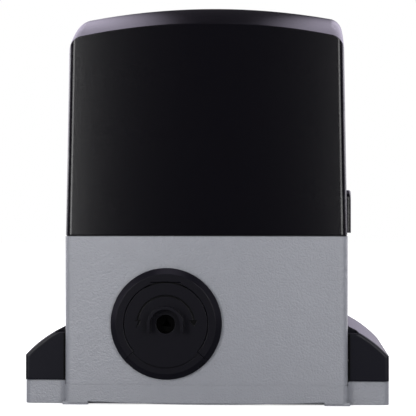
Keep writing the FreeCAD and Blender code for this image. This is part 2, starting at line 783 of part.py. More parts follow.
def arrow_grooves():
    """The curved double arrow engraved over the shroud, its right head solid and its left one ticked."""
    y0, y1 = bezel_face - 1, bezel_face + arrow_depth
    ring = cyl_y(release_x, release_z, arrow_radius + arrow_width / 2, y0, y1)
    ring = ring.cut(cyl_y(release_x, release_z, arrow_radius - arrow_width / 2, y0, y1))
    arc = ring.cut(box(release_x - 40, release_x + 40, y0 - 1, y1 + 1, release_z - 40, release_z + arrow_foot))
    foot = release_z + arrow_foot + 0.1
    middle = release_x + arrow_radius
    right = prism_y([(middle - 4.4, foot), (middle + 2.9, foot), (middle, foot - 5.4)], y0, y1)
    left_x = release_x - arrow_radius
    bar = prism_y([(left_x - 2.2, foot), (left_x - 2.2, foot - 0.9), (left_x + 2.9, foot - 0.9),
                   (left_x + 2.9, foot)], y0, y1)
    tick = prism_y([(left_x + 2.9, foot - 0.9), (left_x + 1.2, foot - 0.9), (left_x - 1.2, foot - 6.4),
                    (left_x - 0.3, foot - 6.4)], y0, y1)
    return fuse_loose([arc, right, bar.fuse(tick)])


def release_handle():
    blank = handle_blank()
    hub = cyl_y(release_x, release_z, barrel_radius + 5, handle_back - 1, front_y + 9)
    solid = fuse([blank, shroud(), hub])
    step = release_ring(ridge_radius - 0.4, ridge_radius + 0.4, ridge_radius + 0.3, bezel_face + 0.3,
                        bezel_face - 0.01)
    step = step.common(sector_block(sector_half_angle, bezel_radius, bezel_face - 2, handle_back))
    bore = cyl_y(release_x, release_z, barrel_radius + running_gap * 2, bezel_face - 1, front_y + 10)
    pin = cyl_x(pivot_y, pivot_z, pivot_pin_radius + running_gap, release_x - 30, release_x + 30)
    return solid.cut(fuse_loose([bore, pin, step, arrow_grooves()]))


def handle_pin():
    return cyl_x(pivot_y, pivot_z, pivot_pin_radius, release_x - pivot_pin_half, release_x + pivot_pin_half)


def bezel_screws():
    screws = []
    for x, z in bezel_screw_places():
        head_y = front_y + housing_wall
        screws.append(pan_screw(x, head_y, z, AXIS_Y, 3.0, 2.2, 1.5, housing_wall + 3))
    return Part.makeCompound(screws)


def key_barrel():
    face = bezel_face + barrel_recess
    body = cyl_y(release_x, release_z, barrel_radius, face, front_y + 10)
    cam = cyl_y(release_x, release_z, barrel_radius + 3, front_y + 9 + seat_gap, barrel_back)
    corner = key_side / math.sqrt(3)
    triangle = []
    for i in range(3):
        angle = math.radians(90 + 120 * i)
        triangle.append((release_x + corner * math.cos(angle), release_z + corner * math.sin(angle)))
    socket = prism_y(triangle, face - 1, face + 9)
    return fuse([body, cam]).cut(socket)


def release_rod():
    return cyl_y(release_x, release_z, rod_radius, barrel_back + seat_gap, pin_y - pin_radius - seat_gap)


# ---------------------------------------------------------------- gearing

def gearcase_cover():
    face = chamber_front - gearcase_wall
    plate = cyl_y(output_x, output_z, gear_cover_radius, face - 5, face)
    spigot = cyl_y(output_x, output_z, chamber_radius - 0.2, face, chamber_front)
    boss = cyl_y(output_x, output_z, front_bearing_outer + 5, cover_cap_y - 4, face)
    nose = cyl_y(output_x, output_z, 8, barrel_back + clutch_travel + 8, cover_cap_y)
    solid = fuse([plate, spigot, boss, nose])
    cuts = [cyl_y(output_x, output_z, front_bearing_outer, shaft_front, chamber_front + 1)]
    cuts.append(cyl_y(output_x, output_z, front_seat_radius + 2, cover_cap_y, chamber_front + 1))
    cuts.append(cyl_y(output_x, output_z, rod_radius + running_gap, barrel_back, chamber_front))
    cuts += [cyl_y(x, z, 2.6, face - 6, face + 1) for x, z in gear_cover_screw_places()]
    return solid.cut(fuse_loose(cuts))


def gearcase_cover_screws():
    face = chamber_front - gearcase_wall - 5
    screws = [pan_screw(x, face, z, AXIS_Y * -1, 4.0, 4.0, 2.4, 14) for x, z in gear_cover_screw_places()]
    return Part.makeCompound(screws)


def output_shaft():
    nose = pinion_y + pinion_width
    steps = [
        (shaft_front, chamber_front + 1, front_seat_radius),
        (chamber_front + 1, collar_y, wheel_bore_radius),
        (collar_y, collar_y + collar_width, collar_radius),
        (collar_y + collar_width, nose, rear_seat_radius),
    ]
    shaft = turned_y(output_x, output_z, steps)
    cuts = [cyl_y(output_x, output_z, rod_bore_radius, shaft_front - 1, pin_slot_front + 15)]
    half = pin_radius + 0.2
    cuts.append(box(output_x - 20, output_x + 20, pin_y - half, pin_y + clutch_travel + half,
                    output_z - half, output_z + half))
    cuts.append(box(output_x - key_width / 2, output_x + key_width / 2, pinion_y, nose + 1,
                    output_z + rear_seat_radius - key_height / 2, output_z + rear_seat_radius + 2))
    cuts.append(cyl_y(output_x, output_z, bolt_radius, nose - 22, nose + 1))
    return shaft.cut(fuse_loose(cuts))


def wheel_blank(radius):
    disc = cyl_y(output_x, output_z, radius, wheel_mid_y - wheel_width / 2, wheel_mid_y + wheel_width / 2)
    hub = cyl_y(output_x, output_z, hub_radius, wheel_mid_y - wheel_width / 2 - 4, hub_back)
    return disc.fuse(hub)


def worm_wheel():
    root = wheel_radius - tooth_dedendum
    tip = wheel_radius + tooth_addendum
    pitch_width = math.pi * wheel_module / 2 - 2 * gear_play
    low = pitch_width / 2 + (wheel_radius - root + 0.5) * flank_tan
    high = pitch_width / 2 - tooth_addendum * flank_tan
    slant = wheel_width * worm_lead / (2 * math.pi * worm_pitch_radius)
    y0 = wheel_mid_y - wheel_width / 2
    lift = output_z + slant / 2
    corners = [
        V(output_x + root - 0.5, y0, lift - low),
        V(output_x + tip, y0, lift - high),
        V(output_x + tip, y0, lift + high),
        V(output_x + root - 0.5, y0, lift + low),
    ]
    tooth = Part.Face(Part.makePolygon(corners + corners[:1])).extrude(V(0, wheel_width, -slant))
    teeth = []
    for i in range(wheel_teeth):
        turned = tooth.copy()
        turned.rotate(V(output_x, 0, output_z), AXIS_Y, 360.0 * i / wheel_teeth)
        teeth.append(turned)
    wheel = wheel_blank(root).multiFuse(teeth)
    cuts = [cyl_y(output_x, output_z, wheel_bore_radius, -30, 60)]
    for angle in range(clutch_dogs):
        dog = dog_block(dog_width + 0.6, hub_back - dog_height - 0.5, hub_back + 1)
        dog.rotate(V(output_x, 0, output_z), AXIS_Y, 360.0 * angle / clutch_dogs)
        cuts.append(dog)
    return wheel.cut(fuse_loose(cuts))


def dog_block(width, y0, y1):
    return box(output_x + wheel_bore_radius - 1, output_x + hub_radius + 1, y0, y1, output_z - width / 2,
               output_z + width / 2)


def clutch_ring():
    body = cyl_y(output_x, output_z, hub_radius, clutch_y, clutch_y + clutch_width)
    dogs = []
    for i in range(clutch_dogs):
        dog = dog_block(dog_width, hub_back - dog_height, clutch_y)
        dog.rotate(V(output_x, 0, output_z), AXIS_Y, 360.0 * i / clutch_dogs)
        dogs.append(dog)
    rim = cyl_y(output_x, output_z, hub_radius, hub_back - dog_height - 1, clutch_y)
    dogs = fuse_loose(dogs).common(rim)
    bore = cyl_y(output_x, output_z, wheel_bore_radius + running_gap, hub_back - dog_height - 1,
                 clutch_y + clutch_width + 1)
    ring = fuse([body, dogs]).cut(bore)
    pin = cyl_x(pin_y, output_z, pin_radius, output_x - wheel_bore_radius - 2, output_x + wheel_bore_radius + 2)
    return fuse([ring, pin])


def clutch_spring():
    """Two disc springs, drawn pressed nearly flat against the shaft's collar."""
    discs = []
    bore = wheel_bore_radius + 0.6
    for i in range(2):
        y = collar_y - 1.6 * (i + 1)
        slope = 0.7 if i == 0 else -0.7
        low, high = (y, y + slope) if slope > 0 else (y + 0.7, y)
        points = [V(bore, low, 0), V(collar_radius, high, 0), V(collar_radius, high + 0.9, 0),
                  V(bore, low + 0.9, 0)]
        disc = Part.Face(Part.makePolygon(points + points[:1])).revolve(V(0, 0, 0), AXIS_Y, 360)
        disc.translate(V(output_x, 0, output_z))
        discs.append(disc)
    return Part.makeCompound(discs)


def shaft_seal():
    y0 = rear_bearing_y + rear_bearing_width + 1.5
    body = cyl_y(output_x, output_z, rear_bearing_outer, y0, y0 + seal_width)
    recess = cyl_y(output_x, output_z, rear_bearing_outer - 4, y0 + seal_width - 2, y0 + seal_width)
    recess = recess.cut(cyl_y(output_x, output_z, rear_seat_radius + 3, y0, y0 + seal_width))
    bore = cyl_y(output_x, output_z, rear_seat_radius + running_gap, y0, y0 + seal_width)
    return body.cut(recess).cut(bore)


def involute_point(base, roll):
    return (base * (math.cos(roll) + roll * math.sin(roll)), base * (math.sin(roll) - roll * math.cos(roll)))


def pinion():
    pitch = pinion_module * pinion_teeth / 2
    base = pitch * math.cos(pressure_angle)
    tip = pitch + pinion_module
    root = pitch - 1.25 * pinion_module
    offset = math.pi / (2 * pinion_teeth) + math.tan(pressure_angle) - pressure_angle
    full_roll = math.sqrt((tip / base) ** 2 - 1)
    flank = [(root, 0.0)]
    for i in range(4):
        flank.append(involute_point(base, full_roll * i / 3))
    outline = []
    for tooth in range(pinion_teeth):
        middle = 2 * math.pi * tooth / pinion_teeth
        for mirror, points in ((-1, flank), (1, flank[::-1])):
            for px, pz in points:
                radius = math.hypot(px, pz)
                angle = middle + mirror * (offset - math.atan2(pz, px))
                outline.append((output_x + radius * math.cos(angle), output_z + radius * math.sin(angle)))
    gear = prism_y(outline, pinion_y, pinion_y + pinion_width)
    boss = cyl_y(output_x, output_z, rear_seat_radius + 7, back_y + 1.2, pinion_y)
    cuts = [cyl_y(output_x, output_z, rear_seat_radius, back_y, pinion_y + pinion_width + 1)]
    cuts.append(box(output_x - key_width / 2, output_x + key_width / 2, back_y, pinion_y + pinion_width + 1,
                    output_z, output_z + rear_seat_radius + key_height / 2))
    return gear.fuse(boss).cut(fuse_loose(cuts))


def pinion_key():
    return box(output_x - key_width / 2, output_x + key_width / 2, pinion_y, pinion_y + pinion_width,
               output_z + rear_seat_radius - key_height / 2, output_z + rear_seat_radius + key_height / 2)


def pinion_washer():
    y0 = pinion_y + pinion_width
    return cyl_y(output_x, output_z, rear_seat_radius + 5, y0, y0 + 3).cut(
        cyl_y(output_x, output_z, bolt_radius, y0, y0 + 3))


def pinion_bolt():
    y0 = pinion_y + pinion_width + 3
    head = hex_prism(V(output_x, y0, output_z), AXIS_Y, 13.0, 5.3)
    crown = Part.makeCone(8.5, 5.9, 5.3, V(output_x, y0, output_z), AXIS_Y)
    return head.common(crown).fuse(cyl_y(output_x, output_z, bolt_radius, y0 - 20, y0))


# ---------------------------------------------------------------- motor

def rotor_shaft():
    worm_root = worm_pitch_radius - tooth_dedendum
    half_worm = worm_lead * worm_turns / 2 + 3
    worm_low, worm_high = output_z - half_worm, output_z + half_worm
    lower_end = worm_bearing_floor + 0.5
    middle_seat = motor_floor + 1
    upper_seat = motor_top - 2 - upper_bearing[2]
    steps = [
        (lower_end, worm_bearing_floor + worm_bearing[2] + 1, worm_bearing[0]),
        (worm_bearing_floor + worm_bearing[2] + 1, worm_high, worm_root),
        (worm_high, middle_seat, worm_root - 0.2),
        (middle_seat, upper_seat, middle_bearing[0]),
        (upper_seat, motor_top + 2, upper_bearing[0]),
        (motor_top + 2, motor_top + 8, 5.0),
    ]
    shaft = turned_z(worm_x, worm_y, steps)
    tip = worm_pitch_radius + tooth_addendum
    pitch_width = worm_lead / 2 - 2 * gear_play
    low = pitch_width / 2 + (worm_pitch_radius - worm_root + 0.5) * flank_tan
    high = pitch_width / 2 - tooth_addendum * flank_tan
    section = Part.makePolygon([
        V(worm_root - 0.5, 0, -low), V(tip, 0, -high), V(tip, 0, high), V(worm_root - 0.5, 0, low),
        V(worm_root - 0.5, 0, -low)])
    helix = Part.makeHelix(worm_lead, worm_lead * worm_turns, worm_pitch_radius)
    thread = Part.Wire(helix.Edges).makePipeShell([section], True, True)
    thread.translate(V(worm_x, worm_y, output_z - worm_lead * worm_turns / 2))
    return shaft.fuse(thread)


def rotor_core():
    core = cyl_z(worm_x, worm_y, rotor_radius, stack_bottom, stack_top)
    rings = [cyl_z(worm_x, worm_y, rotor_radius - 2, stack_bottom - 5, stack_bottom),
             cyl_z(worm_x, worm_y, rotor_radius - 2, stack_top, stack_top + 5)]
    return fuse([core] + rings).cut(cyl_z(worm_x, worm_y, middle_bearing[0], stack_bottom - 6, stack_top + 6))


def motor_lower_bell():
    cup = cyl_z(worm_x, worm_y, motor_radius, motor_floor, lower_bell_top)
    pocket_top = motor_floor + 1 + middle_bearing[2]
    cuts = [cyl_z(worm_x, worm_y, motor_radius - bell_wall, pocket_top + 3, lower_bell_top + 1)]
    cuts.append(cyl_z(worm_x, worm_y, middle_bearing[1], motor_floor + 1, pocket_top + 4))
    cuts.append(cyl_z(worm_x, worm_y, worm_pitch_radius, motor_floor - 1, motor_floor + 2))
    for x, y in bell_screw_places():
        cuts.append(cyl_z(x, y, 2.6, motor_floor - 1, pocket_top + 4))
    for dx, dy in ring_places(4, tie_bolt_circle):
        cuts.append(cyl_z(worm_x + dx, worm_y + dy, tie_bolt_radius, motor_floor + 10, lower_bell_top + 1))
    return cup.cut(fuse_loose(cuts))


def motor_bell_screws():
    top = motor_floor + 1 + middle_bearing[2] + 3
    screws = []
    for x, y in bell_screw_places():
        screws.append(pan_screw(x, y, top, AXIS_Z, 4.0, 4.0, 2.4, 28))
    return Part.makeCompound(screws)


def stator_core():
    stack = cyl_z(worm_x, worm_y, motor_radius, stack_bottom, stack_top)
    cuts = [cyl_z(worm_x, worm_y, rotor_radius + air_gap, stack_bottom - 1, stack_top + 1)]
    for dx, dy in ring_places(4, tie_bolt_circle):
        cuts.append(cyl_z(worm_x + dx, worm_y + dy, tie_bolt_radius, stack_bottom - 1, stack_top + 1))
    return stack.cut(fuse_loose(cuts))


def stator_windings():
    ends = []
    for z0 in (stack_bottom - winding_height, stack_top):
        ring = cyl_z(worm_x, worm_y, motor_radius - bell_wall - 3, z0, z0 + winding_height)
        ring = ring.cut(cyl_z(worm_x, worm_y, rotor_radius + 4, z0, z0 + winding_height))
        free_z = z0 if z0 < stack_bottom else z0 + winding_height
        rims = []
        for edge in ring.Edges:
            limits = edge.BoundBox
            if limits.ZLength < 0.01 and abs(limits.ZMin - free_z) < 0.01:
                rims.append(edge)
        ends.append(ring.makeChamfer(4.0, rims))
    return Part.makeCompound(ends)


def motor_upper_bell():
    cup = cyl_z(worm_x, worm_y, motor_radius, stack_top, motor_top)
    rims = []
    for edge in cup.Edges:
        limits = edge.BoundBox
        if limits.ZLength < 0.01 and abs(limits.ZMax - motor_top) < 0.01:
            rims.append(edge)
    cup = cup.makeChamfer(8.0, rims)
    pocket_bottom = motor_top - 2 - upper_bearing[2]
    cuts = [cyl_z(worm_x, worm_y, motor_radius - bell_wall, stack_top - 1, pocket_bottom - 2)]
    cuts.append(cyl_z(worm_x, worm_y, upper_bearing[1], pocket_bottom - 3, motor_top - 2))
    cuts.append(cyl_z(worm_x, worm_y, upper_bearing[0] + 2, motor_top - 3, motor_top + 1))
    for dx, dy in ring_places(4, tie_bolt_circle):
        cuts.append(cyl_z(worm_x + dx, worm_y + dy, tie_bolt_radius, stack_top - 1, motor_top - 12))
    return cup.cut(fuse_loose(cuts))


def motor_tie_bolts():
    bolts = []
    for dx, dy in ring_places(4, tie_bolt_circle):
        bolts.append(cyl_z(worm_x + dx, worm_y + dy, tie_bolt_radius, motor_floor + 12, motor_top - 12))
    return Part.makeCompound(bolts)


def encoder_wheel():
    z0 = motor_top + 3
    disc = cyl_z(worm_x, worm_y, encoder_radius, z0, z0 + 2)
    hub = cyl_z(worm_x, worm_y, 8, z0, z0 + 5)
    cuts = [cyl_z(worm_x, worm_y, 5.0, z0 - 1, z0 + 6)]
    for i in range(12):
        tooth = box(worm_x + 12.5, worm_x + 16, worm_y - 1.5, worm_y + 1.5, z0 - 1, z0 + 3)
        tooth.rotate(V(worm_x, worm_y, 0), AXIS_Z, 30.0 * i)
        cuts.append(tooth)
    return disc.fuse(hub).cut(fuse_loose(cuts))


def encoder_sensor():
    x0 = worm_x + encoder_radius - 7
    block = box(x0, x0 + 16, worm_y - 6, worm_y + 6, motor_top, motor_top + 12)
    slot = box(x0 - 1, x0 + 8.5, worm_y - 7, worm_y + 7, motor_top + 2, motor_top + 6.5)
    return block.cut(slot)


# ---------------------------------------------------------------- tray and electrics

def component_tray():
    edge = 2 * (housing_wall + tray_edge_gap)
    plate = rounded_block(body_width - edge, body_depth - edge, 3.0, tray_level, tray_top)
    cuts = [cyl_z(worm_x, worm_y, motor_radius + 1.5, tray_level - 1, tray_top + 1)]
    for side in (-1, 1):
        x0, x1 = sorted((side * (lug_x - 2), side * half_width))
        cuts.append(box(x0, x1, fix_pad_y - lug_width / 2 - 1, fix_pad_y + lug_width / 2 + 1, tray_level - 1,
                        tray_top + 1))
    for x, y in post_places():
        cuts.append(cyl_z(x, y, 2.1, tray_level - 1, tray_top + 1))
    cuts.append(cyl_z(cable_x, cable_y - 40, 12, tray_level - 1, tray_top + 1))
    return plate.cut(fuse_loose(cuts))


def tray_screws():
    screws = [pan_screw(x, y, tray_top, AXIS_Z, 3.8, 2.6, 1.9, 12) for x, y in post_places()]
    return Part.makeCompound(screws)


def board_corner_places():
    for x in (board_x + 5, board_x + board_width - 5):
        for z in (board_bottom + 5, board_bottom + board_height - 5):
            yield x, z


def board_carrier():
    top = board_bottom + board_height + 2
    plate = box(board_x - 3, board_x + board_width + 3, carrier_y - 2.5, carrier_y, tray_top, top)
    foot = box(board_x - 3, board_x + board_width + 3, carrier_y, carrier_y + 10, tray_top, tray_top + 3)
    ribs = [box(x, x + 2.5, carrier_y, carrier_y + 10, tray_top, tray_top + 50)
            for x in (board_x, board_x + board_width / 2, board_x + board_width - 2.5)]
    posts = [cyl_y(x, z, 3.5, carrier_y - 2.5 - standoff, carrier_y - 2.5) for x, z in board_corner_places()]
    return fuse([plate, foot] + ribs + posts)


def board_face():
    return carrier_y - 2.5 - standoff - board_thickness


def control_board():
    y0 = board_face()
    plate = box(board_x, board_x + board_width, y0, y0 + board_thickness, board_bottom,
                board_bottom + board_height)
    seats = [box(x - 3, x + 3, y0 - 3.5, y0, z - 3, z + 3) for x, z in button_places()]
    wells = [cyl_y(x, z, 1.75 + running_gap * 2, y0 - 4, y0 - 3.5 + 1.2) for x, z in button_places()]
    return fuse([plate] + seats).cut(fuse_loose(wells))


def button_places():
    end = board_x + board_width
    return [(end - 32, board_bottom + 58), (end - 18, board_bottom + 58)]


def push_button(index):
    x, z = button_places()[index]
    y0 = board_face() - 3.5
    return cyl_y(x, z, 1.75, y0 - 2.0, y0 + 1.2 - button_travel - 0.2)


def relays():
    y0 = board_face()
    blocks = [box(x, x + 19, y0 - 15.5, y0, board_bottom + 30, board_bottom + 45)
              for x in (board_x + 14, board_x + 38, board_x + 62)]
    return Part.makeCompound(blocks)


def terminal_blocks():
    y0 = board_face()
    pole, poles = 5.0, 8
    blocks = []
    for x in (board_x + 10, board_x + 55, board_x + 100):
        block = box(x, x + pole * poles, y0 - 10, y0, board_bottom + 6, board_bottom + 20)
        wire_slots = [box(x + pole * i + 1, x + pole * (i + 1) - 1, y0 - 7, y0 - 4, board_bottom + 5,
                          board_bottom + 13) for i in range(poles)]
        blocks.append(block.cut(fuse_loose(wire_slots)))
    return Part.makeCompound(blocks)


def fuse_holder():
    y0 = board_face()
    x, z = board_x + 112, board_bottom + 34
    base = box(x - 14, x + 14, y0 - 4, y0, z - 5, z + 5)
    tube = cyl_x(y0 - 6.8, z, 2.5, x - 10, x + 10)
    clips = [box(x + dx - 2, x + dx + 2, y0 - 8, y0 - 4, z - 4, z + 4) for dx in (-9, 9)]
    return fuse([base, tube] + clips)


def receiver_module():
    y0 = board_face()
    card = box(board_x + 20, board_x + 68, y0 - 12, y0, board_bottom + 62, board_bottom + 64)
    can = box(board_x + 26, board_x + 44, y0 - 10, y0 - 2, board_bottom + 64, board_bottom + 70)
    return fuse([card, can])


def motor_capacitor():
    can = cyl_z(capacitor_x, capacitor_y, capacitor_radius, tray_top, tray_top + capacitor_height)
    rims = []
    for edge in can.Edges:
        limits = edge.BoundBox
        if limits.ZLength < 0.01 and abs(limits.ZMax - tray_top - capacitor_height) < 0.01:
            rims.append(edge)
    can = can.makeChamfer(2.0, rims)
    tags = [box(capacitor_x + dx - 3, capacitor_x + dx + 3, capacitor_y - 0.4, capacitor_y + 0.4,
                tray_top + capacitor_height, tray_top + capacitor_height + 9) for dx in (-7, 7)]
    return fuse([can] + tags)


def capacitor_clamp():
    z0 = tray_top
    ring = cyl_z(capacitor_x, capacitor_y, capacitor_radius + 2.5, z0, z0 + 18)
    foot = box(capacitor_x - 24, capacitor_x + 24, capacitor_y - 6, capacitor_y + 6, z0, z0 + 3)
    return fuse([ring, foot]).cut(cyl_z(capacitor_x, capacitor_y, capacitor_radius, z0 - 1, z0 + 19))


def transformer_core():
    x0, y0 = transformer_x - transformer_width / 2, transformer_y - transformer_depth / 2
    core = box(x0 + 10, x0 + transformer_width - 10, y0, y0 + transformer_depth, tray_top,
               tray_top + transformer_height)
    windows = [box(x0 + 9, x0 + transformer_width - 9, y0 + 9 + dy, y0 + 21 + dy, tray_top + 9,
                   tray_top + transformer_height - 9) for dy in (0, 30)]
    return core.cut(fuse_loose(windows))


def transformer_coil():
    x0, y0 = transformer_x - transformer_width / 2, transformer_y - transformer_depth / 2
    low, high = tray_top + 9, tray_top + transformer_height - 9
    coil = box(x0, x0 + transformer_width, y0 + 9, y0 + 51, low, high)
    leg = box(x0 + 10, x0 + transformer_width - 10, y0 + 21, y0 + 39, low - 1, high + 1)
    return coil.cut(leg)


# ---------------------------------------------------------------- limit switch

def limit_switch_box():
    x0, x1 = limit_x - limit_box_width / 2, limit_x + limit_box_width / 2
    y1 = half_depth - housing_wall - tray_edge_gap - 1
    y0 = y1 - limit_box_depth
    block = box(x0, x1, y0, y1, tray_top, tray_top + limit_box_height)
    hollow = box(x0 + 2.5, x1 - 2.5, y0 + 2.5, y1 + 1, tray_top + 2.5, tray_top + limit_box_height - 2.5)
    post = cyl_z(limit_x, limit_y, 2.0, tray_top + 2, tray_top + limit_box_height - 2)
    return fuse([block.cut(hollow), post])


def limit_lever():
    hub = cyl_z(limit_x, limit_y, 6.0, feeler_z - 7, feeler_z + 7)
    arm = box(limit_x - 3.5, limit_x + 3.5, limit_y, limit_y + 12, feeler_z - 5, feeler_z + 5)
    cam = box(limit_x - 4, limit_x + 4, limit_y - 10, limit_y, feeler_z - 3, feeler_z + 3)
    return fuse([hub, arm, cam]).cut(cyl_z(limit_x, limit_y, 2.0 + running_gap, feeler_z - 8, feeler_z + 8))


def spring_feeler():
    y0 = limit_y + 12
    coil = cyl_y(limit_x, feeler_z, feeler_coil_radius, y0, y0 + 40)
    rod = cyl_y(limit_x, feeler_z, feeler_radius, y0 + 40, limit_y + feeler_length)
    tip = Part.makeSphere(feeler_radius + 1.0, V(limit_x, limit_y + feeler_length, feeler_z))
    return fuse([coil, rod, tip])


def micro_switches():
    y1 = limit_y - 5.5
    blocks = []
    for side in (-1, 1):
        x0, x1 = sorted((limit_x + side * 10, limit_x + side * 20))
        blocks.append(box(x0, x1, y1 - 9, y1 + 6, tray_top + 2.5, tray_top + 22))
    return Part.makeCompound(blocks)


def bearing_nodes():
    at_front = V(output_x, shaft_front, output_z)
    at_rear = V(output_x, rear_bearing_y, output_z)
    at_worm = V(worm_x, worm_y, worm_bearing_floor)
    at_middle = V(worm_x, worm_y, motor_floor + 1)
    at_upper = V(worm_x, worm_y, motor_top - 2 - upper_bearing[2])
    return {
        "front_bearing": bearing(at_front, AXIS_Y, front_seat_radius, front_bearing_outer, front_bearing_width),
        "rear_bearing": bearing(at_rear, AXIS_Y, rear_seat_radius, rear_bearing_outer, rear_bearing_width),
        "worm_bearing": bearing(at_worm, AXIS_Z, *worm_bearing),
        "middle_bearing": bearing(at_middle, AXIS_Z, *middle_bearing),
        "upper_bearing": bearing(at_upper, AXIS_Z, *upper_bearing),
    }


def build():
    nodes = {
        "base_housing": base_housing(),
        "gear_housing": gear_housing(),
        "gear_housing_screws": gear_housing_screws(),
        "cable_grommet": cable_grommet(),
        "top_cover": top_cover(),
        "cover_gasket": cover_gasket(),
        "cover_screws": cover_screws(),
        "cover_nuts": cover_nuts(),
        "foot_cover_left": foot_cover(-1),
        "foot_cover_right": foot_cover(1),
        "release_bezel": release_bezel(),
        "release_handle": release_handle(),
        "handle_pin": handle_pin(),
        "bezel_screws": bezel_screws(),
        "key_barrel": key_barrel(),
        "release_rod": release_rod(),
        "gearcase_cover": gearcase_cover(),
        "gearcase_cover_screws": gearcase_cover_screws(),
        "output_shaft": output_shaft(),
        "worm_wheel": worm_wheel(),
        "clutch_ring": clutch_ring(),
        "clutch_spring": clutch_spring(),
        "shaft_seal": shaft_seal(),
        "pinion": pinion(),
        "pinion_key": pinion_key(),
        "pinion_washer": pinion_washer(),
        "pinion_bolt": pinion_bolt(),
        "rotor_shaft": rotor_shaft(),
        "rotor_core": rotor_core(),
        "motor_lower_bell": motor_lower_bell(),
        "motor_bell_screws": motor_bell_screws(),
        "stator_core": stator_core(),
        "stator_windings": stator_windings(),
        "motor_upper_bell": motor_upper_bell(),
        "motor_tie_bolts": motor_tie_bolts(),
        "encoder_wheel": encoder_wheel(),
        "encoder_sensor": encoder_sensor(),
        "component_tray": component_tray(),
        "tray_screws": tray_screws(),
        "board_carrier": board_carrier(),
        "control_board": control_board(),
        "learn_button": push_button(0),
        "menu_button": push_button(1),
        "relays": relays(),
        "terminal_blocks": terminal_blocks(),
        "fuse_holder": fuse_holder(),
        "receiver_module": receiver_module(),
        "motor_capacitor": motor_capacitor(),
        "capacitor_clamp": capacitor_clamp(),
        "transformer_core": transformer_core(),
        "transformer_coil": transformer_coil(),
        "limit_switch_box": limit_switch_box(),
        "limit_lever": limit_lever(),
        "spring_feeler": spring_feeler(),
        "micro_switches": micro_switches(),
    }
    nodes.update(bearing_nodes())
    return nodes


os.makedirs("parts", exist_ok=True)
for name, shape in build().items():
    shape.exportStep("parts/" + name + ".step")
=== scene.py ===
"""Finishes, small parts and studio for a sliding gate motor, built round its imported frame."""

import math

import bmesh
import bpy
from bpy.props import FloatProperty, FloatVectorProperty, PointerProperty
from mathutils import Matrix, Vector


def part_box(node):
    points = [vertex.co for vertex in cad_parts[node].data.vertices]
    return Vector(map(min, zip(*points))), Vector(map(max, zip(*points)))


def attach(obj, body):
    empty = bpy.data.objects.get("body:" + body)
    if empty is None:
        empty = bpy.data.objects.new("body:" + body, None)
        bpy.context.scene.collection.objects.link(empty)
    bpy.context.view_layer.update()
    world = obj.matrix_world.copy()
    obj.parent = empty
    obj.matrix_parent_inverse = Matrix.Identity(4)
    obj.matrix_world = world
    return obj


bl_info = {
    "name": "Sliding Gate Motor Dresser",
    "version": (1, 0, 0),
    "blender": (4, 5, 0),
    "location": "View3D > Sidebar > Gate Motor",
    "description": "Finishes the pieces of a sliding gate motor and sets up its studio",
    "category": "Object",
}

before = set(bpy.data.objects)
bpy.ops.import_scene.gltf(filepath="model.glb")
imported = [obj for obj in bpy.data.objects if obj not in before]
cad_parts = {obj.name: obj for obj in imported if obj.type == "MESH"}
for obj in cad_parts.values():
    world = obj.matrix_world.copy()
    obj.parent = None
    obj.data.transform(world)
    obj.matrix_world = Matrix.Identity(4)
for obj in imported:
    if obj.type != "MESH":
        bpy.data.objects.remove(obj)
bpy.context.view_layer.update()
MM = 0.001
BOARD_FACE = -76.1          # front of the control board, in millimetres
TERMINAL_FACE = -86.1       # front of its terminal blocks, in millimetres
SUNK_IN = 0.1               # how far a board part reaches into the board, in millimetres
CASTING_BOW = 0.55          # radius of the casting's bow, as a share of the hood's
WAVE_TO_WIDTH = 0.314       # a wave texture of this scale repeats once a metre


# ---------------------------------------------------------------- colour and nodes

def linear(code):
    """A hex sRGB colour as linear RGBA."""
    parts = [int(code[i:i + 2], 16) / 255 for i in (1, 3, 5)]
    return [c / 12.92 if c <= 0.04045 else ((c + 0.055) / 1.055) ** 2.4 for c in parts] + [1.0]


def add_node(tree, kind, inputs=None, **settings):
    """Adds a node with its settings; inputs maps each socket to a value or to another node's output."""
    made = tree.nodes.new(kind)
    for name, value in settings.items():
        setattr(made, name, value)
    for socket, value in (inputs or {}).items():
        if isinstance(value, bpy.types.NodeSocket):
            tree.links.new(value, made.inputs[socket])
        else:
            made.inputs[socket].default_value = value
    return made


def new_finish(name, colour, roughness, metallic=0.0, ior=1.5):
    """A material with a plain shader; returns it, its node tree, the shader and Object coordinates."""
    material = bpy.data.materials.new(name)
    material.use_nodes = True
    tree = material.node_tree
    tree.nodes.clear()
    shader = add_node(tree, "ShaderNodeBsdfPrincipled", {
        "Base Color": colour, "Roughness": roughness, "Metallic": metallic, "IOR": ior})
    add_node(tree, "ShaderNodeOutputMaterial", {"Surface": shader.outputs["BSDF"]})
    place = add_node(tree, "ShaderNodeTexCoord").outputs["Object"]
    return material, tree, shader, place


def object_axes(tree):
    """The X, Y and Z of the Object coordinates."""
    place = add_node(tree, "ShaderNodeTexCoord").outputs["Object"]
    return add_node(tree, "ShaderNodeSeparateXYZ", {0: place}).outputs


def combine(tree, operation, first, second=0.0, clamp=False):
    """The result of one maths node."""
    return add_node(tree, "ShaderNodeMath", {0: first, 1: second}, operation=operation,
                    use_clamp=clamp).outputs[0]


def multiply(tree, first, *others):
    """The product of two or more values."""
    for other in others:
        first = combine(tree, "MULTIPLY", first, other)
    return first


def smooth_step(tree, value, start, end):
    """0 at start, 1 at end, soft at both."""
    return add_node(tree, "ShaderNodeMapRange", {"Value": value, "From Min": start, "From Max": end},
                    interpolation_type="SMOOTHSTEP").outputs["Result"]


def over(tree, value, limit, blur):
    """1 where value is over the limit, 0 where it is under, with a soft step as wide as blur."""
    return smooth_step(tree, value, limit - blur / 2, limit + blur / 2)


def under(tree, value, limit, blur):
    """1 where value is under the limit, 0 where it is over, with a soft step as wide as blur."""
    return smooth_step(tree, value, limit + blur / 2, limit - blur / 2)


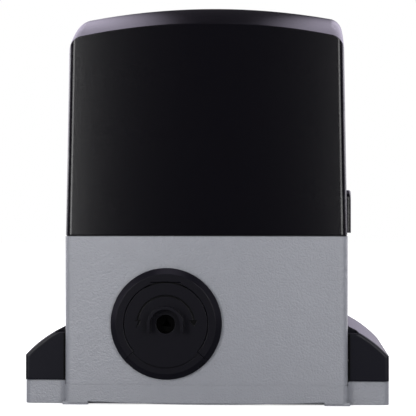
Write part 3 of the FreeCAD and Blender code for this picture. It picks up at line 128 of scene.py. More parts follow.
def blend(tree, share, first, second):
    """A value that goes from first to second with share."""
    return add_node(tree, "ShaderNodeMix", {0: share, 2: first, 3: second}, data_type="FLOAT").outputs[0]


def grain(tree, place, width, detail=2.0, roughness=0.5):
    """Noise whose bumps are about width apart, in metres."""
    return add_node(tree, "ShaderNodeTexNoise", {
        "Vector": place, "Scale": 1.0 / width, "Detail": detail, "Roughness": roughness}).outputs["Fac"]


def spread(tree, value, low, high, start=0.35, end=0.65):
    """value from start..end drawn out to low..high."""
    return add_node(tree, "ShaderNodeMapRange", {
        "Value": value, "From Min": start, "From Max": end, "To Min": low, "To Max": high}).outputs["Result"]


def bands(tree, place, pitch, direction, inputs, profile="SIN"):
    """Bands across one axis, pitch metres apart."""
    return add_node(tree, "ShaderNodeTexWave", {"Vector": place, "Scale": WAVE_TO_WIDTH / pitch, **inputs},
                    wave_type="BANDS", bands_direction=direction, wave_profile=profile).outputs["Fac"]


def tint(tree, share, first, second):
    """A colour that goes from first to second with share."""
    mixed = add_node(tree, "ShaderNodeMix", data_type="RGBA")
    for socket, value in ((0, share), (6, first), (7, second)):
        if isinstance(value, bpy.types.NodeSocket):
            tree.links.new(value, mixed.inputs[socket])
        else:
            mixed.inputs[socket].default_value = value
    return mixed.outputs[2]


def relief(tree, shader, height, depth, edge=0.0, crown=0.0):
    """Bumps of depth metres on the shader, over edges that look rounded to the radius edge.

    With a crown, the faces look bowed out across X to that radius, as a moulded or cast wall is."""
    inputs = {"Height": height, "Distance": depth}
    if edge:
        inputs["Normal"] = add_node(tree, "ShaderNodeBevel", {"Radius": edge}, samples=4).outputs["Normal"]
    if crown:
        across = object_axes(tree)["X"]
        bow = multiply(tree, across, across, -0.5 / crown)
        bowed = add_node(tree, "ShaderNodeBump", {"Height": bow, "Distance": 1.0})
        if edge:
            tree.links.new(inputs["Normal"], bowed.inputs["Normal"])
        inputs["Normal"] = bowed.outputs["Normal"]
    bump = add_node(tree, "ShaderNodeBump", inputs)
    tree.links.new(bump.outputs["Normal"], shader.inputs["Normal"])


def dress(material, *nodes):
    """Puts a material on every slot of the named nodes."""
    for name in nodes:
        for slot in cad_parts[name].material_slots:
            slot.material = material


# ---------------------------------------------------------------- sizes and colours

def size_property(name, description, default):
    return FloatProperty(name=name, description=description, default=default, min=0.0,
                         unit="LENGTH", precision=5)


def colour_property(name, description, code):
    return FloatVectorProperty(name=name, description=description, size=4, min=0.0, max=1.0,
                               subtype="COLOR", default=linear(code))


class GateMotorFinishes(bpy.types.PropertyGroup):
    """Colours and grain sizes of the motor's finishes."""

    casting_grey: colour_property("Casting grey", "Powder coat on the cast base", "#8F9199")
    hood_black: colour_property("Hood black", "Colour of the moulded hood", "#06050B")
    foot_black: colour_property("Foot cover black", "Colour of the moulded foot covers", "#11111B")
    release_black: colour_property("Release black", "Colour of the release handle and its bezel", "#100F17")
    peel_width: size_property("Orange peel", "Distance between the ripples of the powder coat", 1.5 * MM)
    peel_depth: size_property("Peel depth", "Height of the ripples of the powder coat", 0.55 * MM)
    mould_grain: size_property("Mould grain", "Distance between the grains of a moulded skin", 0.9 * MM)
    wall_crown: size_property("Wall crown", "Radius that the hood's walls look bowed out to", 1.2)
    edge_round: size_property("Edge round", "Radius that casting edges look rounded to", 0.9 * MM)


class GateMotorStudio(bpy.types.PropertyGroup):
    """Camera and lamps."""

    lens: FloatProperty(name="Lens", description="Focal length in millimetres on a 36 mm wide sensor",
                        default=136.9, min=20.0)
    distance: size_property("Distance", "Camera to the front face of the base", 1.338)
    eye_level: size_property("Eye level", "Height of the camera over the ground", 0.167)
    turn: FloatProperty(name="Turn", description="Camera's angle to the right of the front face's normal",
                        default=math.radians(3.1), subtype="ANGLE")
    side_light: FloatProperty(name="Side light", description="Power of each softbox beside the camera",
                              default=13.0, min=0.0)
    rim_light: FloatProperty(name="Rim light", description="Power of each high lamp behind the motor",
                             default=9.0, min=0.0)
    fill: FloatProperty(name="Fill", description="Strength of the light from all round",
                        default=0.44, min=0.0)


# ---------------------------------------------------------------- finishes

def powder_coated_casting(look):
    """Cast aluminium under a thin polyester powder coat."""
    # Powder melts into slow ripples with a dull shine, and the sand-cast skin shows through as a fine mottle.
    material, tree, shader, place = new_finish("powder_coated_casting", look.casting_grey, 0.34)
    shader.inputs["Specular IOR Level"].default_value = 0.9
    ripples = grain(tree, place, look.peel_width, 3.0, 0.55)
    mottle = grain(tree, place, 9 * MM, 4.0, 0.6)
    shade = [c * 0.97 for c in look.casting_grey[:3]] + [1.0]
    tree.links.new(tint(tree, spread(tree, mottle, 0.0, 1.0), look.casting_grey, shade),
                   shader.inputs["Base Color"])
    tree.links.new(spread(tree, ripples, 0.28, 0.4), shader.inputs["Roughness"])
    relief(tree, shader, ripples, look.peel_depth, look.edge_round, look.wall_crown * CASTING_BOW)
    return material


def moulded_plastic(name, colour, roughness, width, depth, edge, shine=0.5, crown=0.0):
    """Injection-moulded ABS or nylon: one colour through, with the mould's fine spark-eroded grain."""
    material, tree, shader, place = new_finish(name, colour, roughness, ior=1.53)
    shader.inputs["Specular IOR Level"].default_value = shine
    skin = grain(tree, place, width, 2.0, 0.6)
    tree.links.new(spread(tree, skin, roughness - 0.03, roughness + 0.04), shader.inputs["Roughness"])
    relief(tree, shader, skin, depth, edge, crown)
    return material


def small_plastic(name, code, roughness, width, depth, edge, shine=0.5):
    """moulded_plastic with a hex colour, and its sizes in millimetres."""
    return moulded_plastic(name, linear(code), roughness, width * MM, depth * MM, edge * MM, shine)


def cover_plastic(colour, roughness, width):
    """Black ABS of the foot covers, with a dark line of shade where each one meets the base's side."""
    material = moulded_plastic("black_abs_cover", colour, roughness, width, 0.008 * MM, 1.6 * MM, shine=0.3)
    tree = material.node_tree
    shader = tree.nodes["Principled BSDF"]
    part = object_axes(tree)
    aside = combine(tree, "ABSOLUTE", part["X"])
    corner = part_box("foot_cover_right")[0]
    # The shade lies on the front face only, in a strip 1.35 mm wide.
    shade = multiply(tree, under(tree, aside, corner.x + 1.35 * MM, 0.5 * MM),
                     under(tree, part["Y"], corner.y + 2.0 * MM, 1.0 * MM))
    tree.links.new(tint(tree, shade, colour, linear("#010101")), shader.inputs["Base Color"])
    return material


def release_plastic(colour, roughness, width):
    """Glass-filled nylon, matt, with painted shade in the engraved arrow and in the narrow cuts."""
    material, tree, shader, place = new_finish("glass_filled_nylon", colour, roughness, ior=1.53)
    shader.inputs["Specular IOR Level"].default_value = 0.3
    low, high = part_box("release_bezel")
    middle = Vector(((low.x + high.x) / 2, low.y, (low.z + high.z) / 2))
    part = add_node(tree, "ShaderNodeSeparateXYZ", {0: place}).outputs
    flat = add_node(tree, "ShaderNodeCombineXYZ", {"X": part["X"], "Z": part["Z"]}).outputs[0]
    from_axis = add_node(tree, "ShaderNodeVectorMath", {0: flat, 1: (middle.x, 0.0, middle.z)},
                         operation="DISTANCE").outputs["Value"]
    # Within the flat face, whatever lies over 0.3 mm behind it is a groove, painted dark as shade, but not the
    # lip at the hinge.
    painted_groove_shade = multiply(tree, over(tree, part["Y"], middle.y + 0.275 * MM, 0.25 * MM),
                    under(tree, from_axis, 42.4 * MM, 0.4 * MM))
    on_lip = multiply(tree, over(tree, part["Z"], middle.z + 32.85 * MM, 0.1 * MM),
                      under(tree, part["Y"], middle.y + 1.4 * MM, 0.4 * MM))
    painted_groove_shade = multiply(tree, painted_groove_shade, combine(tree, "SUBTRACT", 1.0, on_lip))
    # The line between the handle and the bezel, 1.2 mm wide, is painted shadow of the gap and runs on over the
    # hinge.
    line = multiply(tree, over(tree, from_axis, 34.7 * MM, 0.2 * MM),
                    under(tree, from_axis, 35.9 * MM, 0.2 * MM),
                    over(tree, part["Z"], middle.z + 30.25 * MM, 0.5 * MM))
    shade = combine(tree, "MAXIMUM", painted_groove_shade, line)
    # Grooves and the gap line are painted near-black as shade.
    tree.links.new(tint(tree, shade, colour, linear("#020203")), shader.inputs["Base Color"])
    skin = grain(tree, place, width, 2.0, 0.6)
    worn = spread(tree, skin, roughness - 0.03, roughness + 0.04)
    tree.links.new(combine(tree, "MAXIMUM", worn, line), shader.inputs["Roughness"])
    relief(tree, shader, skin, 0.01 * MM, 0.5 * MM)
    return material


def moulded_rubber():
    """Moulded EPDM: dull black, with a dusty bloom on its skin."""
    material, tree, shader, place = new_finish("moulded_epdm", linear("#1B1C1F"), 0.72)
    bloom = grain(tree, place, 6 * MM, 4.0)
    tree.links.new(tint(tree, spread(tree, bloom, 0.0, 1.0), linear("#18191B"), linear("#242529")),
                   shader.inputs["Base Color"])
    relief(tree, shader, grain(tree, place, 0.6 * MM), 0.02 * MM, 0.3 * MM)
    return material


def plated_metal(name, first, second, roughness, patch=5 * MM, scratch=0.4 * MM, edge=0.25 * MM):
    """Plated, cast or rolled metal: cloudy patches of two close tones under fine random marks."""
    material, tree, shader, place = new_finish(name, first, roughness, 1.0)
    clouds = grain(tree, place, patch, 4.0, 0.6)
    tree.links.new(tint(tree, spread(tree, clouds, 0.0, 1.0), first, second), shader.inputs["Base Color"])
    marks = grain(tree, place, scratch, 3.0)
    tree.links.new(spread(tree, clouds, roughness - 0.06, roughness + 0.08), shader.inputs["Roughness"])
    relief(tree, shader, marks, 0.015 * MM, edge)
    return material


def turned_steel(name, colour, axis, roughness, pitch=0.5 * MM):
    """Steel ground or turned on a lathe: fine rings round the piece's axis, spaced as the tool's feed."""
    # The feed marks are drawn at half a millimetre, coarser than the real tenth, so that they show.
    material, tree, shader, place = new_finish(name, colour, roughness, 1.0)
    rings = bands(tree, place, pitch, axis, {"Distortion": 0.4, "Detail": 2.0, "Detail Scale": 2.0})
    film = grain(tree, place, 7 * MM, 3.0)
    tree.links.new(spread(tree, film, roughness - 0.05, roughness + 0.1), shader.inputs["Roughness"])
    relief(tree, shader, rings, 0.008 * MM, 0.2 * MM)
    return material


def layered_steel():
    """A stack of stamped electrical-steel sheets: thin dark lines between half-millimetre layers."""
    # The sheets are drawn one millimetre thick, so that the layers show.
    material, tree, shader, place = new_finish("stamped_laminations", linear("#6F7174"), 0.42, 1.0)
    layers = bands(tree, place, 1.0 * MM, "Z", {"Distortion": 0.0})
    tree.links.new(tint(tree, layers, linear("#55565A"), linear("#86888C")), shader.inputs["Base Color"])
    relief(tree, shader, layers, 0.12 * MM, 0.2 * MM)
    return material


def wound_copper():
    """Enamelled copper wire laid in turns: amber and glossy, with painted shade between the wires and a
    painted highlight along each one.
    """
    # Wires are drawn 1.2 mm across, which is the real wire's size on such a motor.
    material, tree, shader, place = new_finish("enamelled_wire", linear("#A4552A"), 0.3, 0.85)
    turns = bands(tree, place, 1.2 * MM, "Z", {"Distortion": 1.2, "Detail": 1.0, "Detail Scale": 0.4})
    # Each wire is painted dark between turns and light along its crest: painted shade and highlight.
    tree.links.new(tint(tree, turns, linear("#5E2A12"), linear("#B9662F")), shader.inputs["Base Color"])
    relief(tree, shader, turns, 0.4 * MM)
    return material


def tape_wrap():
    """Yellow polyester tape wrapped over the transformer's winding: smooth, with lapped edges every 9 mm."""
    material, tree, shader, place = new_finish("polyester_tape", linear("#C9A227"), 0.34)
    laps = bands(tree, place, 9 * MM, "X", {"Distortion": 0.6, "Detail": 1.0}, "SAW")
    tree.links.new(tint(tree, laps, linear("#C9A227"), linear("#B08A1C")), shader.inputs["Base Color"])
    relief(tree, shader, laps, 0.08 * MM, 0.3 * MM)
    return material


def solder_resist():
    """Green solder resist over a glass laminate: glossy, with copper tracks showing as paler lines."""
    material, tree, shader, place = new_finish("solder_resist", linear("#14502B"), 0.3)
    cells = add_node(tree, "ShaderNodeTexBrick", {
        "Vector": add_node(tree, "ShaderNodeMapping", {
            "Vector": place, "Rotation": (math.radians(90), 0, 0)}).outputs["Vector"],
        "Scale": 1.0, "Mortar Size": 0.45 * MM, "Mortar Smooth": 0.2, "Brick Width": 9 * MM,
        "Row Height": 3.1 * MM, "Color1": linear("#14502B"), "Color2": linear("#104425"),
        "Mortar": linear("#2E7A46")}, offset=0.37, offset_frequency=3, squash=1.6, squash_frequency=2)
    tree.links.new(cells.outputs["Color"], shader.inputs["Base Color"])
    relief(tree, shader, cells.outputs["Fac"], 0.035 * MM)
    return material


def clear_glass():
    """Drawn soda-lime glass of the fuse, faintly wavy."""
    material, tree, shader, place = new_finish("fuse_tube_glass", linear("#E9EEF0"), 0.06)
    shader.inputs["Transmission Weight"].default_value = 0.85
    relief(tree, shader, grain(tree, place, 2.5 * MM), 0.01 * MM)
    return material


# ---------------------------------------------------------------- new pieces

def new_piece(name, shape, material, body):
    """Turns a bmesh into an object that rides on a body, with the material in its one slot."""
    bmesh.ops.recalc_face_normals(shape, faces=shape.faces)
    mesh = bpy.data.meshes.new(name)
    shape.to_mesh(mesh)
    shape.free()
    mesh.materials.append(material)
    piece = bpy.data.objects.new(name, mesh)
    bpy.context.scene.collection.objects.link(piece)
    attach(piece, body)


def bevel_edges(shape, edges, width):
    """Bevels edges to a width in millimetres."""
    bmesh.ops.bevel(shape, geom=list(edges), offset=width * MM, offset_type="OFFSET", segments=2, profile=0.5,
                    affect="EDGES", material=-1)


def add_block(shape, low, high, bevel):
    """A box between two corners in millimetres, its edges bevelled."""
    middle = [(a + b) / 2 * MM for a, b in zip(low, high)]
    size = [(b - a) * MM for a, b in zip(low, high)]
    place = Matrix.Translation(middle) @ Matrix.Diagonal(size + [1.0])
    made = bmesh.ops.create_cube(shape, size=1.0, matrix=place)
    bevel_edges(shape, {e for v in made["verts"] for e in v.link_edges}, bevel)


def add_drum(shape, centre, radius, depth, bevel, upright=False):
    """A cylinder about a centre in millimetres, lying along Y or upright, with bevelled rims."""
    turn = Matrix.Identity(4) if upright else Matrix.Rotation(math.pi / 2, 4, "X")
    place = Matrix.Translation([c * MM for c in centre]) @ turn
    made = bmesh.ops.create_cone(shape, cap_ends=True, segments=32, radius1=radius * MM, radius2=radius * MM,
                                 depth=depth * MM, matrix=place)
    bevel_edges(shape, {e for v in made["verts"] for e in v.link_edges
                        if any(len(f.verts) > 4 for f in e.link_faces)}, bevel)


def add_lead(shape, points, radius):
    """A round wire through points in millimetres, smoothed between them, with closed ends."""
    steps, sides = 8, 12            # rings from one point to the next, and faces round the wire
    stops = [Vector(p) * MM for p in points]
    stops = [stops[0]] + stops + [stops[-1]]
    path = []
    for i in range(1, len(stops) - 2):
        p0, p1, p2, p3 = stops[i - 1:i + 3]
        for k in range(steps):
            t = k / steps
            path.append(0.5 * (2 * p1 + (p2 - p0) * t + (2 * p0 - 5 * p1 + 4 * p2 - p3) * t ** 2
                               + (3 * p1 - p0 - 3 * p2 + p3) * t ** 3))
    path.append(stops[-1])
    rings = []
    side = None
    for i, point in enumerate(path):
        along = (path[min(i + 1, len(path) - 1)] - path[max(i - 1, 0)]).normalized()
        if side is None:
            side = along.orthogonal()
        side = (side - along * side.dot(along)).normalized()
        other = along.cross(side)
        rings.append([shape.verts.new(point + (side * math.cos(a) + other * math.sin(a)) * radius * MM)
                      for a in (math.tau * k / sides for k in range(sides))])
    for first, second in zip(rings, rings[1:]):
        for k in range(sides):
            face = shape.faces.new((first[k], first[(k + 1) % sides], second[(k + 1) % sides], second[k]))
            face.smooth = True
    shape.faces.new(rings[0])
    shape.faces.new(rings[-1][::-1])


def hinge_lip(material):
    """Carries the handle's rounded top edge out to its full width round the hinge pin."""
    pin_low, pin_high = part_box("handle_pin")
    pivot = (pin_low + pin_high) / 2
    shape = bmesh.new()
    half, inner, outer = 12.9 * MM, 0.65 * MM, 1.08 * MM        # half its length, and its two radii
    corners = [shape.verts.new((pivot.x + x, pivot.y, pivot.z + r))
               for x, r in ((-half, inner), (half, inner), (half, outer), (-half, outer))]
    edges = [shape.edges.new((corners[i], corners[(i + 1) % 4])) for i in range(4)]
    bmesh.ops.spin(shape, geom=corners + edges, cent=pivot, axis=(1.0, 0.0, 0.0), angle=math.tau, steps=32,
                   use_merge=True)
    new_piece("hinge_lip", shape, material, "release_handle")


def proud_box(x, z, width, height, depth):
    """Two corners of a box that stands depth millimetres out of the board."""
    return (x, BOARD_FACE - depth, z), (x + width, BOARD_FACE + SUNK_IN, z + height)


def board_blocks(name, material, boxes, bevel):
    """A piece of boxes that rides on the base; each box is two corners, in millimetres."""
    shape = bmesh.new()
    for low, high in boxes:
        add_block(shape, low, high, bevel)
    new_piece(name, shape, material, "base")


def board_drums(name, material, drums, bevel, upright=False):
    """A piece of cylinders that rides on the base; each is a centre, a radius and a depth, in millimetres."""
    shape = bmesh.new()
    for centre, radius, depth in drums:
        add_drum(shape, centre, radius, depth, bevel, upright)
    new_piece(name, shape, material, "base")


def heat_sink():
    """A plate on the board with six fins across it."""
    left, right, bottom, top = 32, 48, 176, 200
    fins, fin, pitch = 6, 1.2, 2.96
    shape = bmesh.new()
    add_block(shape, *proud_box(left, bottom, right - left, top - bottom, 2.5), 0.2)
    for i in range(fins):
        x = left + pitch * i
        add_block(shape, (x, BOARD_FACE - 13.0, bottom), (x + fin, BOARD_FACE - 2.3, top), 0.15)
    metal = plated_metal("extruded_heat_sink", linear("#8C8F94"), linear("#7B7E84"), 0.4)
    new_piece("board_heat_sink", shape, metal, "base")


def board_parts():
    """The small parts soldered to the control board: chips, cans, a heat sink, switches and resistors."""
    # Chips: x and z of the lower left corner, width and height.
    chips = ((-14, 206, 14, 14), (-92, 182, 6, 10), (2, 206, 6, 8), (-92, 200, 6, 10), (36, 222, 10, 6))
    board_blocks("board_chips", small_plastic("chip_epoxy", "#17181A", 0.5, 0.4, 0.006, 0.15),
                 [proud_box(*chip, 2.4) for chip in chips], 0.3)
    # Capacitors: x and z of the middle, radius and length.
    cans = ((-20, 241, 5.0, 12.0), (-6, 241, 5.0, 12.0), (10, 240, 6.3, 13.0), (28, 241, 4.0, 9.0))
    board_drums("board_capacitors", small_plastic("can_sleeve_pvc", "#1C2A52", 0.3, 0.6, 0.006, 0.3),
                [((x, BOARD_FACE - length / 2 + SUNK_IN, z), radius, length)
                               for x, z, radius, length in cans], 0.6)
    heat_sink()
    # Eight resistors in a row, 6.5 mm apart.
    board_drums("board_resistors", small_plastic("resistor_lacquer", "#B89A6A", 0.35, 0.3, 0.004, 0.1),
                [((-74 + 6.5 * i, BOARD_FACE - 1.3, 204), 1.25, 5.6)
                                   for i in range(8)], 0.4, upright=True)
    board_blocks("board_switch_bank", small_plastic("switch_bank_pbt", "#A3241E", 0.4, 0.5, 0.006, 0.2),
                 [proud_box(10, 222, 20, 8, 4.0)], 0.3)
    # Six sliders 3.1 mm apart, set on and off in turn.
    sliders = [(11.4 + 3.1 * i, 13.2 + 3.1 * i, 224.4 if i % 2 else 225.6) for i in range(6)]
    board_blocks("board_switch_sliders", small_plastic("slider_nylon", "#D9D8D2", 0.45, 0.4, 0.005, 0.1),
                 [((left, BOARD_FACE - 5.2, low), (right, BOARD_FACE - 3.8, low + 1.9))
                                    for left, right, low in sliders], 0.15)
    # A screw over each of the eight clamps of a terminal block, 5 mm apart.
    head = plated_metal("terminal_screw_zinc", linear("#B4B8BE"), linear("#9FA6B0"), 0.28, 2 * MM)
    board_drums("terminal_screw_heads", head,
                [((block + 2.5 + 5.0 * i, TERMINAL_FACE - 0.2, 166.5), 1.6, 1.0)
                 for block in (-88.0, -43.0, 2.0) for i in range(8)], 0.2)


def wiring():
    """The leads inside the hood, from the motor, the transformer, the limit switch and the capacitor."""
    # Each sheathed lead: its points, then its radius. Motor, transformer and limit switch, to the terminals.
    leads = (
        (((52.5, -33, 152), (60, -48, 146), (63, -68, 147), (60, -82, 152), (42.2, -83, 161)), 2.8),
        (((-102.2, -12, 162), (-107, -28, 158), (-108, -60, 152), (-104, -80, 155), (-88.2, -82, 163)), 2.2),
        (((-88.2, 76, 146), (-98, 70, 142), (-107, 40, 141), (-108, -20, 141), (-108, -66, 145),
          (-103, -84, 150), (-88.2, -84, 159)), 1.8))
    shape = bmesh.new()
    for points, radius in leads:
        add_lead(shape, points, radius)
    sheath = small_plastic("lead_sheath_pvc", "#1E1F22", 0.42, 0.8, 0.01, 0.3)
    new_piece("wiring_sheathed", shape, sheath, "base")
    # The capacitor's two leads leave its top side by side and go down behind it.
    for name, code, shift in (("wiring_brown", "#4A2A1A", 0.0), ("wiring_blue", "#1F4A8C", 3.2)):
        shape = bmesh.new()
        add_lead(shape, ((88 + shift, 50, 229.5), (84 + shift, 46, 238), (76, 40 - shift, 236),
                         (72.5, 38 - shift, 215), (72, 37 - shift, 180), (70.6, 35 - shift, 160)), 1.3)
        sheath = small_plastic(name + "_pvc", code, 0.4, 0.8, 0.006, 0.2)
        new_piece(name, shape, sheath, "base")


# ---------------------------------------------------------------- operators

class GATEMOTOR_OT_casting(bpy.types.Operator):
    """Powder-coats the cast base and leaves the drive's own castings raw"""

    bl_idname = "gatemotor.casting"
    bl_label = "Finish Castings"

    def execute(self, context):
        look = context.scene.gate_motor_finishes
        dress(powder_coated_casting(look), "base_housing")
        # Raw die-cast aluminium: pale grey with dull flow clouds about 12 mm across.
        raw = plated_metal("raw_die_casting", linear("#A3A5A8"), linear("#8D8F93"), 0.5, 12 * MM, 0.8 * MM,
                           0.5 * MM)
        dress(raw, "gear_housing", "gearcase_cover", "motor_lower_bell", "motor_upper_bell")
        return {"FINISHED"}


class GATEMOTOR_OT_covers(bpy.types.Operator):
    """Gives the hood and the foot covers their moulded black skins"""

    bl_idname = "gatemotor.covers"
    bl_label = "Finish Covers"

    def execute(self, context):
        look = context.scene.gate_motor_finishes
        # The hood's mould is polished nearly smooth, so it shines softly.
        dress(moulded_plastic("polished_black_abs", look.hood_black, 0.19, look.mould_grain, 0.004 * MM,
                              1.2 * MM, crown=look.wall_crown), "top_cover")
        dress(cover_plastic(look.foot_black, 0.34, look.mould_grain), "foot_cover_left", "foot_cover_right")
        dress(moulded_rubber(), "cover_gasket", "cable_grommet", "shaft_seal")
        return {"FINISHED"}


class GATEMOTOR_OT_release(bpy.types.Operator):
    """Finishes the release handle, its bezel and the key barrel"""

    bl_idname = "gatemotor.release"
    bl_label = "Finish Release"

    def execute(self, context):
        look = context.scene.gate_motor_finishes
        nylon = release_plastic(look.release_black, 0.32, look.mould_grain)
        dress(nylon, "release_bezel", "release_handle")
        hinge_lip(nylon)
        # The key barrel is painted near-black with little shine, as painted shade deep in the keyhole.
        dress(small_plastic("keyhole_shade_black", "#020202", 0.35, 0.7, 0.01, 0.3, shine=0.1), "key_barrel")
        return {"FINISHED"}


class GATEMOTOR_OT_drive(bpy.types.Operator):
    """Finishes the gears, shafts, bearings and springs"""

    bl_idname = "gatemotor.drive"
    bl_label = "Finish Drive"

    def execute(self, context):
        dress(turned_steel("ground_shaft_steel_across", linear("#A5A7AA"), "Y", 0.24),
              "output_shaft", "release_rod", "clutch_ring", "pinion_key")
        dress(turned_steel("ground_shaft_steel_upright", linear("#A5A7AA"), "Z", 0.24), "rotor_shaft")
        dress(turned_steel("hobbed_gear_steel", linear("#77797D"), "Y", 0.33, 0.8 * MM), "pinion")
        dress(turned_steel("cast_gear_bronze", linear("#B98A4A"), "Y", 0.3, 0.7 * MM), "worm_wheel")
        dress(turned_steel("bearing_chrome_steel", linear("#B9BBBE"), "Y", 0.18, 0.6 * MM),
              "front_bearing", "rear_bearing", "worm_bearing", "middle_bearing", "upper_bearing")
        dress(plated_metal("hardened_spring_steel", linear("#8A8C90"), linear("#6E7074"), 0.28),
              "clutch_spring", "spring_feeler")
        return {"FINISHED"}


class GATEMOTOR_OT_motor(bpy.types.Operator):
    """Finishes the motor's laminations and windings, and the transformer"""

    bl_idname = "gatemotor.motor"
    bl_label = "Finish Motor"

    def execute(self, context):
        dress(layered_steel(), "stator_core", "rotor_core", "transformer_core")
        dress(wound_copper(), "stator_windings")
        dress(tape_wrap(), "transformer_coil")
        return {"FINISHED"}


# Name, colour, roughness, grain width, grain depth and edge radius in millimetres, and the nodes.
ELECTRIC_PLASTICS = (
    ("black_nylon", "#1D1D20", 0.48, 0.8, 0.012, 0.3,
     ("component_tray", "board_carrier", "limit_switch_box", "limit_lever", "encoder_wheel",
      "encoder_sensor")),
    ("button_cap_abs", "#B8322A", 0.35, 0.5, 0.01, 0.3, ("learn_button", "menu_button")),
    ("relay_case_pbt", "#1F3F77", 0.3, 0.6, 0.008, 0.3, ("relays",)),
    ("terminal_polyamide", "#2F7D46", 0.42, 0.6, 0.012, 0.3, ("terminal_blocks",)),
    ("capacitor_case_pp", "#CDCCC4", 0.4, 0.9, 0.012, 0.5, ("motor_capacitor",)),
    ("switch_case_phenolic", "#262220", 0.5, 0.5, 0.01, 0.2, ("micro_switches",)),
)


class GATEMOTOR_OT_electrics(bpy.types.Operator):
    """Finishes the tray, board, switches and the parts on them"""

    bl_idname = "gatemotor.electrics"
    bl_label = "Finish Electrics"

    def execute(self, context):
        for name, code, roughness, width, depth, edge, nodes in ELECTRIC_PLASTICS:
            dress(small_plastic(name, code, roughness, width, depth, edge), *nodes)
        dress(solder_resist(), "control_board", "receiver_module")
        dress(clear_glass(), "fuse_holder")
        dress(plated_metal("rolled_clamp_strip", linear("#A2A5A9"), linear("#8C8F94"), 0.33),
              "capacitor_clamp")
        board_parts()
        wiring()
        return {"FINISHED"}


class GATEMOTOR_OT_fasteners(bpy.types.Operator):
    """Zinc-plates the screws, nuts and washers, and blackens the handle's pin"""

    bl_idname = "gatemotor.fasteners"
    bl_label = "Finish Fasteners"

    def execute(self, context):
        # Bright zinc plate over steel: silver with a faint blue cloud.
        zinc = plated_metal("bright_zinc_plate", linear("#B4B8BE"), linear("#9FA6B0"), 0.26, 3 * MM)
        dress(zinc, "cover_screws", "cover_nuts", "bezel_screws", "gear_housing_screws",
              "gearcase_cover_screws", "motor_bell_screws", "tray_screws", "motor_tie_bolts",
              "pinion_washer", "pinion_bolt")
        # Black oxide on the handle's pin: dull and nearly black.
        dress(plated_metal("black_oxide_steel", linear("#1B1C1E"), linear("#141517"), 0.45, 3 * MM),
              "handle_pin")
        return {"FINISHED"}


# ---------------------------------------------------------------- studio

# Name, place, width and height in metres, the setting that gives the power, and its share of that.
LAMPS = (
    ("left_softbox", (-0.93, -1.45, 0.25), (0.5, 1.6), "side_light", 1.15),
    ("right_softbox", (0.82, -1.45, 0.25), (0.5, 1.6), "side_light", 0.85),
    ("left_rim_lamp", (-1.2, 0.7, 0.75), (0.8, 1.2), "rim_light", 1.0),
    ("right_rim_lamp", (1.2, 0.7, 0.75), (0.8, 1.2), "rim_light", 0.85),
)
LAMP_AIM = (0.0, 0.0, 0.17)         # half way up the motor
AIM_ASIDE = 0.002                   # how far right of the middle the camera aims, in metres
# Strengths that mirrors meet in the surround: the low wall, the side panels, the overhead lamp and the rest.
WALL_SHINE, PANEL_SHINE, LAMP_SHINE, LEAST_SHINE = 0.55, 1.3, 0.9, 0.03
FLOOR_GLOW = 0.72                   # strength of the floor's own white, on top of what the lamps give


def softbox(name, place, aim, size, power):
    """A rectangular area lamp at place, turned to face aim."""
    lamp = bpy.data.lights.new(name, "AREA")
    lamp.shape = "RECTANGLE"
    lamp.size, lamp.size_y = size
    lamp.energy = power
    holder = bpy.data.objects.new(name, lamp)
    bpy.context.scene.collection.objects.link(holder)
    holder.location = place
    holder.rotation_euler = (Vector(aim) - Vector(place)).to_track_quat("-Z", "Y").to_euler()


def white_surround(fill):
    """World that is white to the eye; mirrors meet a low pale wall, tall side panels and a lamp overhead."""
    world = bpy.data.worlds.new("studio_surround")
    bpy.context.scene.world = world
    world.use_nodes = True
    tree = world.node_tree
    tree.nodes.clear()
    towards = add_node(tree, "ShaderNodeSeparateXYZ", {
        0: add_node(tree, "ShaderNodeTexCoord").outputs["Generated"]}).outputs
    across, depth, height = towards["X"], towards["Y"], towards["Z"]
    wall = multiply(tree, over(tree, depth, 0.175, 0.35), under(tree, height, 0.0975, 0.055), WALL_SHINE)
    # The panels leave a dark slot behind the motor, a little to the left, so the hood's top darkens there.
    aside = combine(tree, "ABSOLUTE", combine(tree, "ADD", across, 0.03))
    panels = multiply(tree, over(tree, aside, 0.125, 0.13), over(tree, depth, 0.0, 0.6),
                      under(tree, height, 0.8, 0.2), over(tree, height, 0.025, 0.15), PANEL_SHINE)
    lamp = multiply(tree, over(tree, height, 0.95, 0.04), LAMP_SHINE)
    shine = combine(tree, "MAXIMUM", combine(tree, "MAXIMUM", wall, panels), lamp)
    shine = combine(tree, "MAXIMUM", shine, LEAST_SHINE)
    path = add_node(tree, "ShaderNodeLightPath").outputs
    soft = blend(tree, path["Is Glossy Ray"], fill, shine)
    seen = combine(tree, "ADD", path["Is Camera Ray"], path["Is Transmission Ray"], clamp=True)
    strength = blend(tree, seen, soft, 1.0)
    tone = tint(tree, path["Is Glossy Ray"], linear("#FFFFFF"), linear("#F0E7FF"))
    surround = add_node(tree, "ShaderNodeBackground", {"Color": tone, "Strength": strength})
    add_node(tree, "ShaderNodeOutputWorld", {"Surface": surround.outputs[0]})


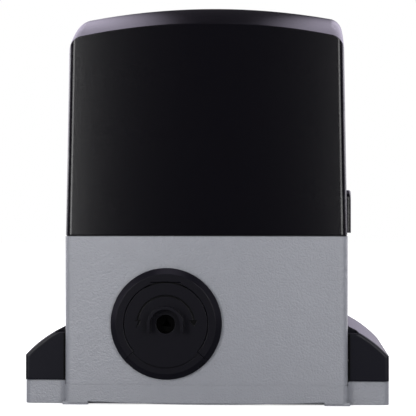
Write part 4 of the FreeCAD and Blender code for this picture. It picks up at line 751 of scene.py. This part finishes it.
def studio_floor():
    """A floor that keeps the shadow: white to the eye, dark to mirrors in front of the motor, white behind."""
    shape = bmesh.new()
    bmesh.ops.create_grid(shape, x_segments=1, y_segments=1, size=6.0)
    mesh = bpy.data.meshes.new("studio_floor")
    shape.to_mesh(mesh)
    shape.free()
    floor = bpy.data.objects.new("studio_floor", mesh)
    bpy.context.scene.collection.objects.link(floor)
    material = bpy.data.materials.new("matt_white_paper")
    material.use_nodes = True
    tree = material.node_tree
    tree.nodes.clear()
    path = add_node(tree, "ShaderNodeLightPath").outputs
    behind = over(tree, object_axes(tree)["Y"], 0.2, 0.4)
    dim = multiply(tree, path["Is Glossy Ray"], combine(tree, "SUBTRACT", 1.0, behind))
    paper = add_node(tree, "ShaderNodeBsdfDiffuse", {
        "Color": tint(tree, dim, linear("#E6E6E8"), linear("#3A3A3C"))})
    glow = add_node(tree, "ShaderNodeEmission", {"Color": linear("#FFFFFF"), "Strength": FLOOR_GLOW})
    seen = combine(tree, "ADD", path["Is Camera Ray"], path["Is Transmission Ray"])
    seen = combine(tree, "ADD", seen, multiply(tree, path["Is Glossy Ray"], behind), clamp=True)
    shown = add_node(tree, "ShaderNodeMixShader", {0: seen, 2: glow.outputs[0]})
    both = add_node(tree, "ShaderNodeAddShader", {0: paper.outputs[0], 1: shown.outputs[0]})
    add_node(tree, "ShaderNodeOutputMaterial", {"Surface": both.outputs[0]})
    mesh.materials.append(material)


class GATEMOTOR_OT_studio(bpy.types.Operator):
    """Sets up the camera, the lamps, the white surround and the floor"""

    bl_idname = "gatemotor.studio"
    bl_label = "Set Up Studio"

    def execute(self, context):
        studio = context.scene.gate_motor_studio
        context.scene.view_settings.view_transform = "Standard"
        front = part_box("base_housing")[0].y
        camera = bpy.data.cameras.new("camera")
        camera.lens, camera.sensor_width = studio.lens, 36.0
        holder = bpy.data.objects.new("camera", camera)
        context.scene.collection.objects.link(holder)
        aim = Vector((AIM_ASIDE, front, studio.eye_level))
        away = Vector((math.sin(studio.turn), -math.cos(studio.turn), 0.0))
        holder.location = aim + away * studio.distance
        holder.rotation_euler = (-away).to_track_quat("-Z", "Y").to_euler()
        context.scene.camera = holder
        for name, place, size, setting, share in LAMPS:
            softbox(name, place, LAMP_AIM, size, getattr(studio, setting) * share)
        white_surround(studio.fill)
        studio_floor()
        return {"FINISHED"}


class GATEMOTOR_PT_panel(bpy.types.Panel):
    """Lists the steps and the sizes and colours they use"""

    bl_label = "Gate Motor"
    bl_idname = "GATEMOTOR_PT_panel"
    bl_space_type = "VIEW_3D"
    bl_region_type = "UI"
    bl_category = "Gate Motor"

    def draw(self, context):
        for step in STEPS:
            self.layout.operator(step.bl_idname)
        for group in (context.scene.gate_motor_finishes, context.scene.gate_motor_studio):
            box = self.layout.box()
            for name in group.__annotations__:
                box.prop(group, name)


STEPS = (GATEMOTOR_OT_studio, GATEMOTOR_OT_casting, GATEMOTOR_OT_covers, GATEMOTOR_OT_release,
         GATEMOTOR_OT_drive, GATEMOTOR_OT_motor, GATEMOTOR_OT_electrics, GATEMOTOR_OT_fasteners)
CLASSES = (GateMotorFinishes, GateMotorStudio) + STEPS + (GATEMOTOR_PT_panel,)


def register():
    for item in CLASSES:
        bpy.utils.register_class(item)
    bpy.types.Scene.gate_motor_finishes = PointerProperty(type=GateMotorFinishes)
    bpy.types.Scene.gate_motor_studio = PointerProperty(type=GateMotorStudio)


def unregister():
    del bpy.types.Scene.gate_motor_studio
    del bpy.types.Scene.gate_motor_finishes
    for item in reversed(CLASSES):
        bpy.utils.unregister_class(item)


def main():
    register()
    bpy.ops.gatemotor.studio()
    bpy.ops.gatemotor.casting()
    bpy.ops.gatemotor.covers()
    bpy.ops.gatemotor.release()
    bpy.ops.gatemotor.drive()
    bpy.ops.gatemotor.motor()
    bpy.ops.gatemotor.electrics()
    bpy.ops.gatemotor.fasteners()


if __name__ == "__main__":
    main()
